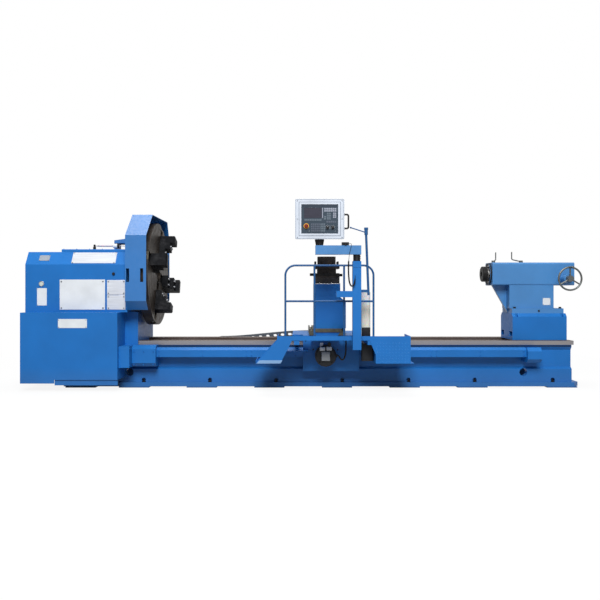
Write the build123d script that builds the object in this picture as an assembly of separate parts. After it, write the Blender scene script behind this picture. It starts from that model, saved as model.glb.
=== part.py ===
from build123d import *
import os
from math import atan2, cos, degrees, hypot, radians, sin, tan

# A heavy CNC lathe. X counts from the faceplate's face towards the tailstock, Y from the spindle
# axis towards the back, and Z up from the floor. Each finished piece is then shifted, so that the
# origin lies on the floor under the middle of the machine.

# Clearances
SLIDE_GAP = 0.3
RUN_GAP = 0.05
SEAT_GAP = 0.02

# Bed
BED_TOP = 550.0
BED_WIDTH = 756.0
BED_BEHIND_FACE = 1034.0
BED_PAST_TAILSTOCK = 2.0
WAY_HEIGHT = 48.0
WAY_WIDTH = 160.0
WAY_OVERHANG = 26.0
WAY_GROOVE = 8.0
PLINTH_REACH = 385.0
PLINTH_TOP = 217.0
PLINTH_SLOPE = 24.0
WAIST_REACH = 350.0
SHOULDER_RISE = 62.0
SHOULDER_LIP = 26.0
FLANGE_REACH = 425.0
FLANGE_TOP = 63.0
FLANGE_PAST_BED = 77.0
FLANGE_CHAMFER = 60.0
BED_WALL = 50.0
BED_RIB = 60.0
BAY_COUNT = 6
BED_ROOF = 90.0
LIFT_HOLE_RADIUS = 46.0
LIFT_HOLE_Z = 178.0
LIFT_HOLE_INSETS = (770.0, 574.0)
PAD_HEIGHT = 15.0
PAD_LENGTH = 355.0
PAD_DEPTH = 130.0
PAD_PITCH = 800.0
PAD_INSETS = (828.0, 127.0)
HEAD_PAD_INSET = 198.0
ANCHOR_RADIUS = 14.0
ANCHOR_REACH = 384.0
ANCHOR_PITCH = 785.0
ANCHOR_INSETS = (937.0, 225.0)
ANCHOR_COUNT = 6
POCKET_WIDTH = 48.0
POCKET_DEPTH = 40.0
POCKET_RISE = 26.0

# Headstock
CENTRE_HEIGHT = 800.0
HEAD_FRONT = 590.0
HEAD_BACK = 470.0
HEAD_BOTTOM = 895.0
HEAD_SLOPE_START = 1448.0
HEAD_SLOPE_DEPTH = 100.0
HEAD_TOP = 1598.0
HEAD_LENGTH = 1050.0
HEAD_WALL = 70.0
NECK_FRONT = 400.0
NECK_BACK = 425.0
NECK_PAST_HEAD = 77.0
TOP_COVER_LENGTH = 796.0
TOP_COVER_HEIGHT = 33.0
TOP_COVER_ROUND = 12.0
BELT_GUARD_WIDTH = 132.0
BELT_GUARD_HOLE = 85.0
SHEET = 5.0

# Spindle and its drive
SPINDLE_BORE = 65.0
FRONT_JOURNAL = 150.0
REAR_JOURNAL = 120.0
SHAFT_RADIUS = 138.0
PULLEY_SEAT = 100.0
NOSE_RADIUS = 210.0
NOSE_LENGTH = 75.0
FRONT_BEARING = (210.0, 120.0)
REAR_BEARING = (170.0, 90.0)
BEARING_WALL = (200.0, 140.0)
PULLEY_WIDTH = 96.0
SPINDLE_PULLEY = 215.0
MOTOR_PULLEY = 86.0
BELT_THICKNESS = 14.0
PULLEY_LIP = 20.0
MOTOR_RADIUS = 140.0
MOTOR_LENGTH = 620.0
MOTOR_SHAFT = 30.0
MOTOR_Y = -585.0
MOTOR_Z = 440.0
MOTOR_FOOT = (120.0, 35.0)

# Lower cabinet
CABINET_FRONT = 740.0
CABINET_RIGHT = -317.0
CABINET_BOTTOM = 90.0
CABINET_NOTCH = 41.0
CABINET_SKIRT = 63.0
CABINET_SKIRT_INSET = 15.0

# Chuck guard
GUARD_WIDTH = 240.0
GUARD_HALF = 700.0
GUARD_FRONT_RISE = 430.0
GUARD_FRONT_DROP = 323.0
GUARD_TOP_FRONT = 355.0
GUARD_TOP_BACK = 555.0
GUARD_BACK_RISE = 450.0
GUARD_FOOT_DROP = 427.0
GUARD_FOOT_INSET = 100.0
GUARD_SHEET = 6.0
GUARD_NOSE_GAP = 20.0
GUARD_SLOT = (35.0, 155.0)
GUARD_SLOT_DROP = 28.0
GUARD_SLOT_INSETS = (29.0, 190.0)
STAY_LENGTH = 272.0
STAY_WIDTH = 300.0
STAY_RISE = 168.0
STAY_END_RISE = 129.0
STAY_CHEEK_FOOT = 94.0

# Faceplate and jaws
FACEPLATE_RADIUS = 625.0
FACEPLATE_RIM = 110.0
FACEPLATE_DEPTH = 150.0
FACEPLATE_HUB = 260.0
FACEPLATE_HOLE = 100.0
FACE_GROOVES = (300.0, 430.0, 560.0)
FACE_GROOVE_WIDTH = 6.0
FACE_GROOVE_DEPTH = 3.0
JAW_COUNT = 4
CHUCK_TURN = -20.0
JAW_SLOT_WIDTH = 120.0
JAW_SLOT_DEPTH = 60.0
JAW_SLOT_INNER = 104.0
JAW_WIDTH = 150.0
JAW_INNER = 235.0
JAW_STEPS = ((80.0, 70.0), (80.0, 130.0), (90.0, 190.0))
JAW_CHAMFER = 12.0

# Oil pipe on the headstock
OIL_PIPE_RADIUS = 5.0
OIL_PIPE_RISE = 43.0
OIL_PIPE_Y = -400.0
OIL_PIPE_LENGTH = 437.0
OIL_POST_RADIUS = 17.0
OIL_FITTING = (27.0, 70.0)
OIL_FITTING_AT = 221.0

# Z feed
Z_SCREW_RADIUS = 31.5
Z_JOURNAL = 25.0
Z_SCREW_Y = -442.0
Z_SCREW_Z = 418.0
COVER_FRONT = 500.0
COVER_BACK = 388.0
COVER_TOP = 476.0
COVER_BOTTOM = 368.0
COVER_SLOPE = 26.0
COVER_SHEET = 5.0
COVER_COUNT = 4
COVER_ARM = (130.0, 50.0)
GEARBOX_FRONT = 560.0
GEARBOX_LENGTH = 275.0
GEARBOX_PAST_FACE = 78.0
GEARBOX_Z = (262.0, 508.0)
GEARBOX_CHAMFER = 42.0
SERVO_COVER_GAP = 7.0
SERVO_COVER_FRONT = 680.0
Z_SERVO_SIZE = 120.0
END_BRACKET_LENGTH = 164.0
END_BRACKET_Z = (305.0, 482.0)
END_BRACKET_INSET = 412.0
END_CAP_LENGTH = 30.0

# Carriage
CARRIAGE_X = 2116.0
SADDLE_LENGTH = 900.0
SADDLE_REACH = 400.0
SADDLE_THICK = 75.0
DOVETAIL_HEIGHT = 35.0
DOVETAIL_TOP = 300.0
DOVETAIL_FOOT = 250.0
APRON_LENGTH = 650.0
APRON_FRONT = 560.0
APRON_BOTTOM = 212.0
APRON_PLATE = 28.0
APRON_TOP_DROP = 30.0
COVER_TUNNEL_GAP = 14.0
NUT_RADIUS = 46.0
NUT_LENGTH = 170.0
NUT_WEB = 60.0
CROSS_LENGTH = 900.0
CROSS_WIDTH = 420.0
CROSS_HEIGHT = 40.0
CROSS_FRONT = 570.0
TEE_SLOT_WIDTH = 22.0
TEE_SLOT_DEPTH = 24.0
TEE_SLOT_OFFSET = 182.0
X_SCREW_RADIUS = 20.0
X_SCREW_OFFSET = -69.0
X_SCREW_DROP = 35.0
X_CHANNEL = 30.0
X_NUT = (26.0, 80.0)
X_NUT_Y = -60.0
X_PULLEY = (28.0, 30.0)
X_SCREW_BACK = 330.0
BELT_BOX_WIDTH = 317.0
BELT_BOX_HEIGHT = 177.0
BELT_BOX_DEPTH = 80.0
BELT_BOX_ROUND = 30.0
X_SERVO_RADIUS = 120.0
X_SERVO_LENGTH = 130.0
X_SERVO_Z = 405.0
X_SERVO_CAP = (48.0, 32.0)
X_SERVO_FLANGE = 112.0
X_SERVO_PLUG = (38.0, 34.0, 26.0)
X_SERVO_PLUGS = (-45.0, 42.0)

# Tool column and turret
TOOL_OFFSET = -44.0
TOOL_Y = -300.0
COLUMN_LEFT = 154.0
COLUMN_RIGHT_TOP = 158.0
COLUMN_RIGHT_FOOT = 224.0
COLUMN_STEP_RISE = 310.0
COLUMN_STEP_SLOPE = 60.0
COLUMN_HALF_DEPTH = 150.0
COLUMN_TOP = 1231.0
TURRET_SIZE = 300.0
TURRET_CORE = 222.0
TURRET_BASE_HEIGHT = 67.0
TURRET_FLOOR = 20.0
TURRET_FLANGE = (87.0, 45.0)
TURRET_CAP = (214.0, 99.0)
TURRET_CHAMFER = 24.0
TURRET_PIN = 40.0
TOOL_SHANK = 32.0
TOOL_OVERHANG = 50.0
TOOL_TIP = 22.0
CLAMP_SCREW = (11.0, 42.0)

# Platform
DECK_LEFT = -608.0
DECK_RIGHT = 840.0
DECK_FRONT = 1090.0
DECK_DEPTH = 410.0
DECK_TOP = 610.0
DECK_PLATE = 6.0
RIM_HEIGHT = 41.0
ARM_WIDTH = 60.0
ARM_HEIGHT = 48.0
ARM_LEFT_OFFSET = -396.0
ARM_STEP_GAP = 26.0
RAIL_RADIUS = 11.0
RAIL_INSET = 18.0
RAIL_BEND = 110.0
RAIL_TOP = 1419.0
RAIL_MIDDLE = 1030.0
RAIL_POSTS = (-519.0, -203.0, 119.0, 439.0)
STEP_TREAD_Z = 359.0
STEP_SHEET = 5.0
STEP_LIP = 32.0
LEFT_STEP_TOP = (-608.0, -446.0)
LEFT_STEP_FOOT = (-835.0, -571.0)
RIGHT_STEP_WIDTH = 380.0
RIGHT_STEP_FLANGE = 38.0
RIGHT_STEP_GUSSET = (64.0, 157.0)
STEP_BRACE_FOLD = 34.0
STEP_BRACE_LUG = 60.0
STEP_BRACE_Z = 455.0
TANK_CENTRE = (372.0, -850.0)
TANK_SIZE = (100.0, 112.0)
TANK_Z = (738.0, 1130.0)
TANK_CAP = (24.0, 18.0)
PUMP_STEP_GAP = 3.0
PUMP_Y = -850.0
PUMP_SIZE = (132.0, 120.0)
PUMP_BOTTOM = 364.0

# Pendant
PENDANT_X = 251.0
PENDANT_TUBE = 91.0
PENDANT_WALL = 6.0
PENDANT_FOOT = 509.0
PENDANT_TOP = 1461.0
COLLAR_HEIGHT = 67.0
COLLAR_EXTRA = 3.0
SHELF_SIZE = (175.0, 67.0)
SHELF_TOP = 1141.0
SHELF_SHEET = 4.0
SWIVEL_PIN = (30.0, 60.0)
SWIVEL_NECK = (38.0, 72.0)
ARM_TUBE = 97.0
ARM_LEFT = 446.0
PANEL_OFFSET = -401.0
PANEL_NECK = (40.0, 50.0, 64.0)
PANEL_PIN = (28.0, 45.0)
PANEL_SIZE = (524.0, 427.0)
PANEL_DEPTH = 180.0
PANEL_FRAME = 28.0
PANEL_BODY_INSET = 14.0
PANEL_ROUND = 14.0
FASCIA_SIZE = (392.0, 311.0)
FASCIA_THICK = 6.0
FASCIA_RECESS = 8.0
SCREEN_SIZE = (189.0, 110.0)
SCREEN_AT = (-73.0, 65.0)
SCREEN_DEPTH = 2.0
ESTOP_AT = (-143.0, -76.0)
ESTOP_HEAD = (20.0, 14.0)
ESTOP_STEM = (11.0, 8.0)
ESTOP_RING = (27.0, 4.0)
ESTOP_TRAVEL = 6.0
KNOB_AT = ((82.0, -88.0), (138.0, -88.0))
KNOB_SIZE = (16.0, 20.0)
KNOB_SHAFT = (4.0, 10.0)
HANDLE_SPAN = 148.0
HANDLE_REACH = 44.0
HANDLE_RADIUS = 9.0
HANDLE_RISE = -26.0
PULSE_OFFSET = -124.0
PULSE_SIZE = (76.0, 80.0, 34.0)
PULSE_KNOB = (16.0, 20.0)

# Stand with a swinging rod beside the pendant
LAMP_X = 352.0
LAMP_LEAN = 26.0
LAMP_POST_RADIUS = 13.0
LAMP_POST_Z = (1096.0, 1745.0)
LAMP_BRACKET_Z = 1141.0
LAMP_BRACKET = (20.0, 30.0)
LAMP_PIN = (8.0, 40.0)
LAMP_HUB = (19.0, 56.0)
LAMP_KNOB = (22.0, 22.0)
LAMP_ROD = 6.0
LAMP_ROD_END = (-166.0, 50.0)
LAMP_ROD_BALL = 10.0

# Tailstock
CENTRE_DISTANCE = 4011.0
NOSE_RADIUS_TAIL = 95.0
NOSE_DEPTH = 60.0
NOSE_SHANK = (50.0, 130.0)
NOSE_SOCKET = (30.0, 150.0)
QUILL_RADIUS = 80.0
QUILL_LENGTH = 800.0
QUILL_SHOW = 14.0
QUILL_KEY = (24.0, 12.0)
BARREL_RING = (137.0, 20.0)
BARREL_LENGTH = 998.0
BARREL_HALF_HEIGHT = 140.0
BARREL_HALF_DEPTH = 160.0
BARREL_ROUND = 22.0
BARREL_BORE_SPARE = 45.0
TAIL_BODY_X = (208.0, 748.0)
TAIL_BODY_DEPTH = 150.0
TAIL_FLANGE_X = (227.0, 850.0)
TAIL_FLANGE_DEPTH = 200.0
TAIL_FLANGE_Z = (870.0, 929.0)
TAIL_BASE_X = (219.0, 873.0)
TAIL_BASE_DEPTH = 240.0
TAIL_BASE_CHAMFER = 38.0
TAIL_GUSSET_DEPTH = 24.0
TAIL_POCKET = (30.0, 42.0, 40.0)
TAIL_POCKET_INSET = 52.0
TAIL_RECESS = (110.0, 60.0, 40.0)
TAIL_RECESS_AT = (165.0, 40.0)
WHEEL_AT = (873.0, -62.0)
WHEEL_PLANE = -345.0
WHEEL_RADIUS = 136.0
WHEEL_RIM = 11.0
WHEEL_HUB = (36.0, 60.0)
WHEEL_SPOKE = 9.0
WHEEL_SHAFT = (16.0, 170.0)
WHEEL_BOSS = (52.0, 140.0)
GRIP = (13.0, 80.0)
LEVER_AT = (37.0, 378.0)
LEVER_TURN = (60.0, 180.0)
LEVER_Y = -60.0
LEVER_HUB = (22.0, 26.0)
LEVER_PIN = (9.0, 30.0)
LEVER_ROD = 7.0
LEVER_REACH = 115.0
LEVER_RISE = 120.0

# Drag chain behind the bed
CHAIN_Y = 600.0
CHAIN_PITCH = 95.0
CHAIN_HEIGHT = 76.0
CHAIN_WIDTH = 150.0
CHAIN_PLATE = 6.0
CHAIN_BEND = 132.0
CHAIN_LOW_Z = 236.0
CHAIN_END_RISE = 27.0
CHAIN_ANCHOR_X = 1552.0
CHAIN_BEND_X = 700.0
CHAIN_END_OFFSET = -254.0
CHAIN_LUG = 70.0
TRAY_X = (-330.0, 1680.0)
TRAY_SHEET = 4.0
TRAY_LIP = 40.0
TRAY_BRACKET_COUNT = 4
TRAY_BRACKET_INSET = 150.0

# Cords
PULSE_CORD_RADIUS = 8.0
SERVO_CABLE_RADIUS = 9.0

# Places that follow from the sizes above
AXIS_Z = BED_TOP + CENTRE_HEIGHT
WAY_SEAT = BED_TOP - WAY_HEIGHT
BARREL_X = CENTRE_DISTANCE + NOSE_DEPTH + QUILL_SHOW + BARREL_RING[1]
TAIL_BASE = (BARREL_X + TAIL_BASE_X[0], BARREL_X + TAIL_BASE_X[1])
BED_X = (-BED_BEHIND_FACE, TAIL_BASE[1] + BED_PAST_TAILSTOCK)
HEAD_X = (-GUARD_WIDTH - HEAD_LENGTH, -GUARD_WIDTH)
NECK_RIGHT = HEAD_X[1] + NECK_PAST_HEAD
END_LEFT = HEAD_X[0] - BELT_GUARD_WIDTH
GEARBOX_X = (GEARBOX_PAST_FACE - GEARBOX_LENGTH, GEARBOX_PAST_FACE)
END_BRACKET_X = BED_X[1] - END_BRACKET_INSET - END_BRACKET_LENGTH
TOOL_X = CARRIAGE_X + TOOL_OFFSET
X_SCREW_X = CARRIAGE_X + X_SCREW_OFFSET
SADDLE_Z = (BED_TOP + SLIDE_GAP, BED_TOP + SADDLE_THICK)
DOVETAIL_Z = SADDLE_Z[1] + DOVETAIL_HEIGHT
CROSS_Z = (SADDLE_Z[1] + SLIDE_GAP, DOVETAIL_Z + CROSS_HEIGHT)
X_SCREW_Z = SADDLE_Z[1] - X_SCREW_DROP
WING_BOTTOM = BED_TOP - APRON_TOP_DROP
TURRET_Z = COLUMN_TOP + TURRET_BASE_HEIGHT + SLIDE_GAP
TOOL_FLOOR = TURRET_Z + TURRET_FLOOR
DECK_UNDER = DECK_TOP - DECK_PLATE
DECK_X = (CARRIAGE_X + DECK_LEFT, CARRIAGE_X + DECK_RIGHT)
DECK_BACK = DECK_DEPTH - DECK_FRONT
RIGHT_STEP_X = (DECK_X[1] - RIGHT_STEP_WIDTH, DECK_X[1])
PENDANT_CENTRE = (CARRIAGE_X + PENDANT_X, -DECK_FRONT - PENDANT_TUBE / 2)
ARM_Z = (PENDANT_TOP + SWIVEL_NECK[1], PENDANT_TOP + SWIVEL_NECK[1] + ARM_TUBE)
PANEL_X = PENDANT_CENTRE[0] + PANEL_OFFSET
PANEL_BOTTOM = ARM_Z[1] + PANEL_NECK[2]
PANEL_Z = PANEL_BOTTOM + PANEL_SIZE[1] / 2
PANEL_FACE = PENDANT_CENTRE[1] - PANEL_DEPTH / 2
FASCIA_FACE = PANEL_FACE + FASCIA_RECESS - FASCIA_THICK
WHEEL_X = BARREL_X + WHEEL_AT[0]
WHEEL_Z = AXIS_Z + WHEEL_AT[1]
BARREL_TOP = AXIS_Z + BARREL_HALF_HEIGHT
CHAIN_END_X = CARRIAGE_X + CHAIN_END_OFFSET
CHAIN_HIGH_Z = CHAIN_LOW_Z + 2 * CHAIN_BEND
RIGHT_END = max(BARREL_X + BARREL_LENGTH, WHEEL_X + WHEEL_RADIUS + WHEEL_RIM)
FRONT_END = FASCIA_FACE - ESTOP_RING[1] - ESTOP_STEM[1] - ESTOP_HEAD[1]
BACK_END = CHAIN_Y + CHAIN_WIDTH / 2 + TRAY_SHEET
SHIFT = (-(END_LEFT + RIGHT_END) / 2, -(FRONT_END + BACK_END) / 2, 0.0)


# Small helpers

def block(x, y, z):
    """A box between two limits on each axis."""
    size = (x[1] - x[0], y[1] - y[0], z[1] - z[0])
    return Pos((x[0] + x[1]) / 2, (y[0] + y[1]) / 2, (z[0] + z[1]) / 2) * Box(*size)


def rod_x(x, radius, y, z):
    """A round bar along X."""
    bar = Cylinder(radius, x[1] - x[0], align=(Align.CENTER, Align.CENTER, Align.MIN))
    return Pos(x[0], y, z) * Rot(0, 90, 0) * bar


def rod_y(y, radius, x, z):
    """A round bar along Y."""
    bar = Cylinder(radius, y[1] - y[0], align=(Align.CENTER, Align.CENTER, Align.MIN))
    return Pos(x, y[0], z) * Rot(-90, 0, 0) * bar


def rod_z(z, radius, x, y):
    """A round bar along Z."""
    bar = Cylinder(radius, z[1] - z[0], align=(Align.CENTER, Align.CENTER, Align.MIN))
    return Pos(x, y, z[0]) * bar


def prism_x(points, x):
    """A (Y, Z) outline drawn along X."""
    face = Plane.YZ.offset(x[0]) * make_face(Polyline(*points, close=True))
    return extrude(face, amount=x[1] - x[0], dir=(1, 0, 0))


def prism_y(points, y):
    """An (X, Z) outline drawn along Y."""
    plane = Plane(origin=(0, y[0], 0), x_dir=(1, 0, 0), z_dir=(0, -1, 0))
    face = plane * make_face(Polyline(*points, close=True))
    return extrude(face, amount=y[1] - y[0], dir=(0, 1, 0))


def prism_z(points, z):
    """An (X, Y) outline drawn along Z."""
    face = Plane.XY.offset(z[0]) * make_face(Polyline(*points, close=True))
    return extrude(face, amount=z[1] - z[0], dir=(0, 0, 1))


def front_plate(x, z, size, radius, y):
    """A plate with rounded corners, facing the front, between two Y values."""
    plane = Plane(origin=(x, y[1], z), x_dir=(1, 0, 0), z_dir=(0, -1, 0))
    return extrude(plane * RectangleRounded(size[0], size[1], radius), amount=y[1] - y[0])


def tube_between(a, b, radius):
    """A round bar from point a to point b."""
    line = Line(a, b)
    return sweep(Plane(origin=line @ 0, z_dir=line % 0) * Circle(radius), path=line)


def bent_tube(points, radius, bends):
    """A round bar along straight runs with tangent arcs."""
    path = FilletPolyline(*points, radius=bends)
    return sweep(Plane(origin=path @ 0, z_dir=path % 0) * Circle(radius), path=path)


def cord_bends(points):
    """The largest arc that each corner of a cord's route has room for."""
    radii = []
    for before, corner, after in zip(points, points[1:], points[2:]):
        run_in = Vector(corner) - Vector(before)
        run_out = Vector(after) - Vector(corner)
        turn = radians(run_in.get_angle(run_out))
        radii.append(0.45 * min(run_in.length, run_out.length) / tan(turn / 2))
    return radii


def cord(points, radius, name):
    """A cord's plain tube; its bend radii are printed."""
    radii = cord_bends(points)
    print(name, "bend radii", [round(r) for r in radii])
    return bent_tube(points, radius, radii)


def joined(pieces):
    """Several pieces fused into one."""
    return Part() + pieces


def save(name, *solids):
    """Shift the solids of one node into the machine's frame and write them."""
    moved = [Pos(*SHIFT) * s for s in solids]
    shape = moved[0] if len(moved) == 1 else Compound(children=moved)
    export_step(shape, f"parts/{name}.step")


# Bed

def row(first, pitch, count, last):
    """Evenly pitched places followed by one at the far end."""
    return [first + i * pitch for i in range(count)] + [last]


def anchor_places():
    """X of each pair of anchor bolts."""
    first = BED_X[0] + ANCHOR_INSETS[0]
    return row(first, ANCHOR_PITCH, ANCHOR_COUNT, BED_X[1] - ANCHOR_INSETS[1])


def anchor_holes():
    """The bolt holes through the base flange and the pads."""
    reach = (0, FLANGE_TOP + 1)
    return [rod_z(reach, ANCHOR_RADIUS, x, s * ANCHOR_REACH) for x in anchor_places() for s in (-1, 1)]


def anchor_pocket(x, side):
    """The arched pocket in the plinth above one anchor bolt."""
    y = sorted((side * (PLINTH_REACH - POCKET_DEPTH), side * (FLANGE_REACH + 1)))
    square = block((x - POCKET_WIDTH / 2, x + POCKET_WIDTH / 2), y, (FLANGE_TOP, FLANGE_TOP + POCKET_RISE))
    return square + rod_y(y, POCKET_WIDTH / 2, x, FLANGE_TOP + POCKET_RISE)


def bed_casting():
    """The ribbed bed, open below, with chip windows between the ways."""
    half = BED_WIDTH / 2
    side = [
        (PLINTH_REACH, FLANGE_TOP),
        (PLINTH_REACH, PLINTH_TOP),
        (WAIST_REACH, PLINTH_TOP + PLINTH_SLOPE),
        (WAIST_REACH, WAY_SEAT - SHOULDER_RISE),
        (half, WAY_SEAT - SHOULDER_LIP),
        (half, WAY_SEAT),
    ]
    outline = [(-y, z) for y, z in side] + side[::-1]
    flange_right = BED_X[1] + FLANGE_PAST_BED
    chamfer = FLANGE_REACH - FLANGE_CHAMFER
    plan = [
        (BED_X[0], -FLANGE_REACH),
        (flange_right - FLANGE_CHAMFER, -FLANGE_REACH),
        (flange_right, -chamfer),
        (flange_right, chamfer),
        (flange_right - FLANGE_CHAMFER, FLANGE_REACH),
        (BED_X[0], FLANGE_REACH),
    ]
    bed = joined([prism_x(outline, BED_X), prism_z(plan, (PAD_HEIGHT, FLANGE_TOP))])
    pitch = (BED_X[1] - BED_X[0] - BED_RIB) / BAY_COUNT
    inner = WAIST_REACH - BED_WALL
    window = half - WAY_WIDTH
    cuts = []
    for i in range(BAY_COUNT):
        x0 = BED_X[0] + BED_RIB + i * pitch
        bay = (x0, x0 + pitch - BED_RIB)
        cuts.append(block(bay, (-inner, inner), (0, WAY_SEAT - BED_ROOF)))
        cuts.append(block(bay, (-window, window), (0, WAY_SEAT + 1)))
    through = (-FLANGE_REACH, FLANGE_REACH)
    for x in (BED_X[0] + LIFT_HOLE_INSETS[0], BED_X[1] - LIFT_HOLE_INSETS[1]):
        cuts.append(rod_y(through, LIFT_HOLE_RADIUS, x, LIFT_HOLE_Z))
    cuts += [anchor_pocket(x, side) for x in anchor_places() for side in (-1, 1)]
    return bed - cuts - anchor_holes()


def guideway(side):
    """One hardened way with an oil groove along its top."""
    outer, inner = BED_WIDTH / 2, BED_WIDTH / 2 - WAY_WIDTH
    middle = (outer + inner) / 2
    outline = [
        (outer, WAY_SEAT),
        (outer, BED_TOP),
        (middle + WAY_GROOVE, BED_TOP),
        (middle, BED_TOP - WAY_GROOVE),
        (middle - WAY_GROOVE, BED_TOP),
        (inner, BED_TOP),
        (inner, WAY_SEAT),
    ]
    return prism_x([(side * y, z) for y, z in outline], (NECK_RIGHT, BED_X[1] + WAY_OVERHANG))


def levelling_pads():
    """The pads under both long edges of the base flange."""
    pads = []
    places = row(BED_X[0] + PAD_INSETS[0], PAD_PITCH, ANCHOR_COUNT, BED_X[1] - PAD_INSETS[1])
    for x in [BED_X[0] + HEAD_PAD_INSET] + places:
        for side in (-1, 1):
            y = sorted((side * FLANGE_REACH, side * (FLANGE_REACH - PAD_DEPTH)))
            pad = block((x - PAD_LENGTH / 2, x + PAD_LENGTH / 2), y, (0, PAD_HEIGHT))
            pads.append(pad - anchor_holes())
    return pads


# Headstock and its sheet metal

def head_outline(inset):
    """The headstock's (Y, Z) section, drawn in by an inset."""
    front, back = HEAD_FRONT - inset, HEAD_BACK - inset
    top, bottom = HEAD_TOP - inset, HEAD_BOTTOM + inset
    return [
        (-front, bottom),
        (-front, HEAD_SLOPE_START - inset / 2),
        (-front + HEAD_SLOPE_DEPTH, top),
        (back, top),
        (back, bottom),
    ]


def headstock_neck():
    """The block that carries the gear case on the bed."""
    return block((BED_X[0], NECK_RIGHT), (-NECK_FRONT, NECK_BACK), (WAY_SEAT, HEAD_BOTTOM))


def gear_case():
    """The headstock's gear case, with both bearing bores and an open top."""
    case = prism_x(head_outline(0), HEAD_X)
    inside_x = (HEAD_X[0] + BEARING_WALL[1], HEAD_X[1] - BEARING_WALL[0])
    hollow = prism_x(head_outline(HEAD_WALL), inside_x)
    mouth_x = (HEAD_X[1] - TOP_COVER_LENGTH + HEAD_WALL, inside_x[1])
    mouth_y = (-HEAD_FRONT + HEAD_SLOPE_DEPTH + HEAD_WALL, HEAD_BACK - HEAD_WALL)
    mouth = block(mouth_x, mouth_y, (HEAD_TOP - HEAD_WALL - 1, HEAD_TOP + 1))
    front = rod_x((inside_x[1] - 1, HEAD_X[1] + 1), FRONT_BEARING[0], 0, AXIS_Z)
    rear = rod_x((HEAD_X[0] - 1, inside_x[0] + 1), REAR_BEARING[0], 0, AXIS_Z)
    return case - [hollow, mouth, front, rear]


def headstock_cover():
    """The raised lid over the gear case."""
    x = (HEAD_X[1] - TOP_COVER_LENGTH, HEAD_X[1])
    y = (-HEAD_FRONT + HEAD_SLOPE_DEPTH, HEAD_BACK)
    lid = block(x, y, (HEAD_TOP, HEAD_TOP + TOP_COVER_HEIGHT))
    edges = lid.edges().filter_by(Axis.X).group_by(Axis.Z)[-1]
    return fillet(edges, TOP_COVER_ROUND)


def belt_guard():
    """The sheet end cover over the pulleys, with a hole in line with the spindle's bore."""
    x = (END_LEFT, HEAD_X[0])
    inside = [(y, z if z > HEAD_BOTTOM + SHEET else HEAD_BOTTOM - 1) for y, z in head_outline(SHEET)]
    room = prism_x(inside, (END_LEFT + SHEET, HEAD_X[0] + 1))
    hole = rod_x((END_LEFT - 1, END_LEFT + SHEET + 1), BELT_GUARD_HOLE, 0, AXIS_Z)
    return prism_x(head_outline(0), x) - [room, hole]


def lower_cabinet():
    """The sheet cabinet round the bed's left end and in front of it, with a skirt set back under its front."""
    low = CABINET_BOTTOM + CABINET_NOTCH
    end_part = block((END_LEFT, BED_X[0]), (-CABINET_FRONT, HEAD_BACK), (CABINET_BOTTOM, HEAD_BOTTOM))
    front_part = block((END_LEFT, CABINET_RIGHT), (-CABINET_FRONT, -NECK_FRONT), (low, HEAD_BOTTOM))
    inner_x = END_LEFT + SHEET
    inner_top = HEAD_BOTTOM - SHEET
    front_y = -CABINET_FRONT + SHEET
    end_room = block((inner_x, BED_X[0] - SHEET), (front_y, HEAD_BACK - SHEET), (0, inner_top))
    front_room = block((inner_x, CABINET_RIGHT - SHEET), (front_y, -NECK_FRONT + 1), (0, inner_top))
    belt_mouth = block(
        (inner_x, HEAD_X[0]), (-HEAD_FRONT + SHEET, HEAD_BACK - SHEET), (inner_top - 1, HEAD_BOTTOM + 1)
    )
    shell = joined([end_part, front_part]) - [end_room, front_room, belt_mouth]
    skirt_x = (BED_X[0], CABINET_RIGHT)
    skirt_y = front_y + CABINET_SKIRT_INSET
    ledge = block(skirt_x, (-CABINET_FRONT, skirt_y), (low, low + SHEET))
    skirt = block(skirt_x, (skirt_y - SHEET, skirt_y), (low - CABINET_SKIRT, low + SHEET))
    return joined([shell, ledge, skirt])


def guard_outline(inset):
    """The hood's (Y, Z) section about the spindle axis, drawn in by an inset."""
    half = GUARD_HALF - inset
    foot = GUARD_HALF - GUARD_FOOT_INSET - inset
    points = [
        (-foot, -GUARD_FOOT_DROP),
        (-half, -GUARD_FRONT_DROP),
        (-half, GUARD_FRONT_RISE - inset / 2),
        (-GUARD_TOP_FRONT + inset / 2, half),
        (GUARD_TOP_BACK - inset / 2, half),
        (half, GUARD_BACK_RISE - inset / 2),
        (half, -GUARD_FRONT_DROP),
        (foot, -GUARD_FOOT_DROP),
    ]
    return [(y, AXIS_Z + z) for y, z in points]


def guard_back():
    """The hood's back plate, with a hole for the spindle nose."""
    x = (-GUARD_WIDTH, -GUARD_WIDTH + GUARD_SHEET)
    hole = rod_x((x[0] - 1, x[1] + 1), NOSE_RADIUS + GUARD_NOSE_GAP, 0, AXIS_Z)
    return prism_x(guard_outline(0), x) - hole


def guard_hood():
    """The folded sheet round the faceplate, open below and towards the work."""
    x = (-GUARD_WIDTH + GUARD_SHEET, 0)
    inner = guard_outline(GUARD_SHEET)
    foot = AXIS_Z - GUARD_FOOT_DROP
    inner[0] = (inner[0][0], foot - 1)
    inner[-1] = (inner[-1][0], foot - 1)
    hood = prism_x(guard_outline(0), x) - prism_x(inner, (x[0] - 1, 1))
    middle = AXIS_Z - GUARD_SLOT_DROP
    slot_z = (middle - GUARD_SLOT[1] / 2, middle + GUARD_SLOT[1] / 2)
    slots = []
    for inset in GUARD_SLOT_INSETS:
        slot_x = (inset - GUARD_WIDTH - GUARD_SLOT[0] / 2, inset - GUARD_WIDTH + GUARD_SLOT[0] / 2)
        slots.append(block(slot_x, (-GUARD_HALF - 1, -GUARD_HALF + GUARD_SHEET + 1), slot_z))
    return hood - slots


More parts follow.
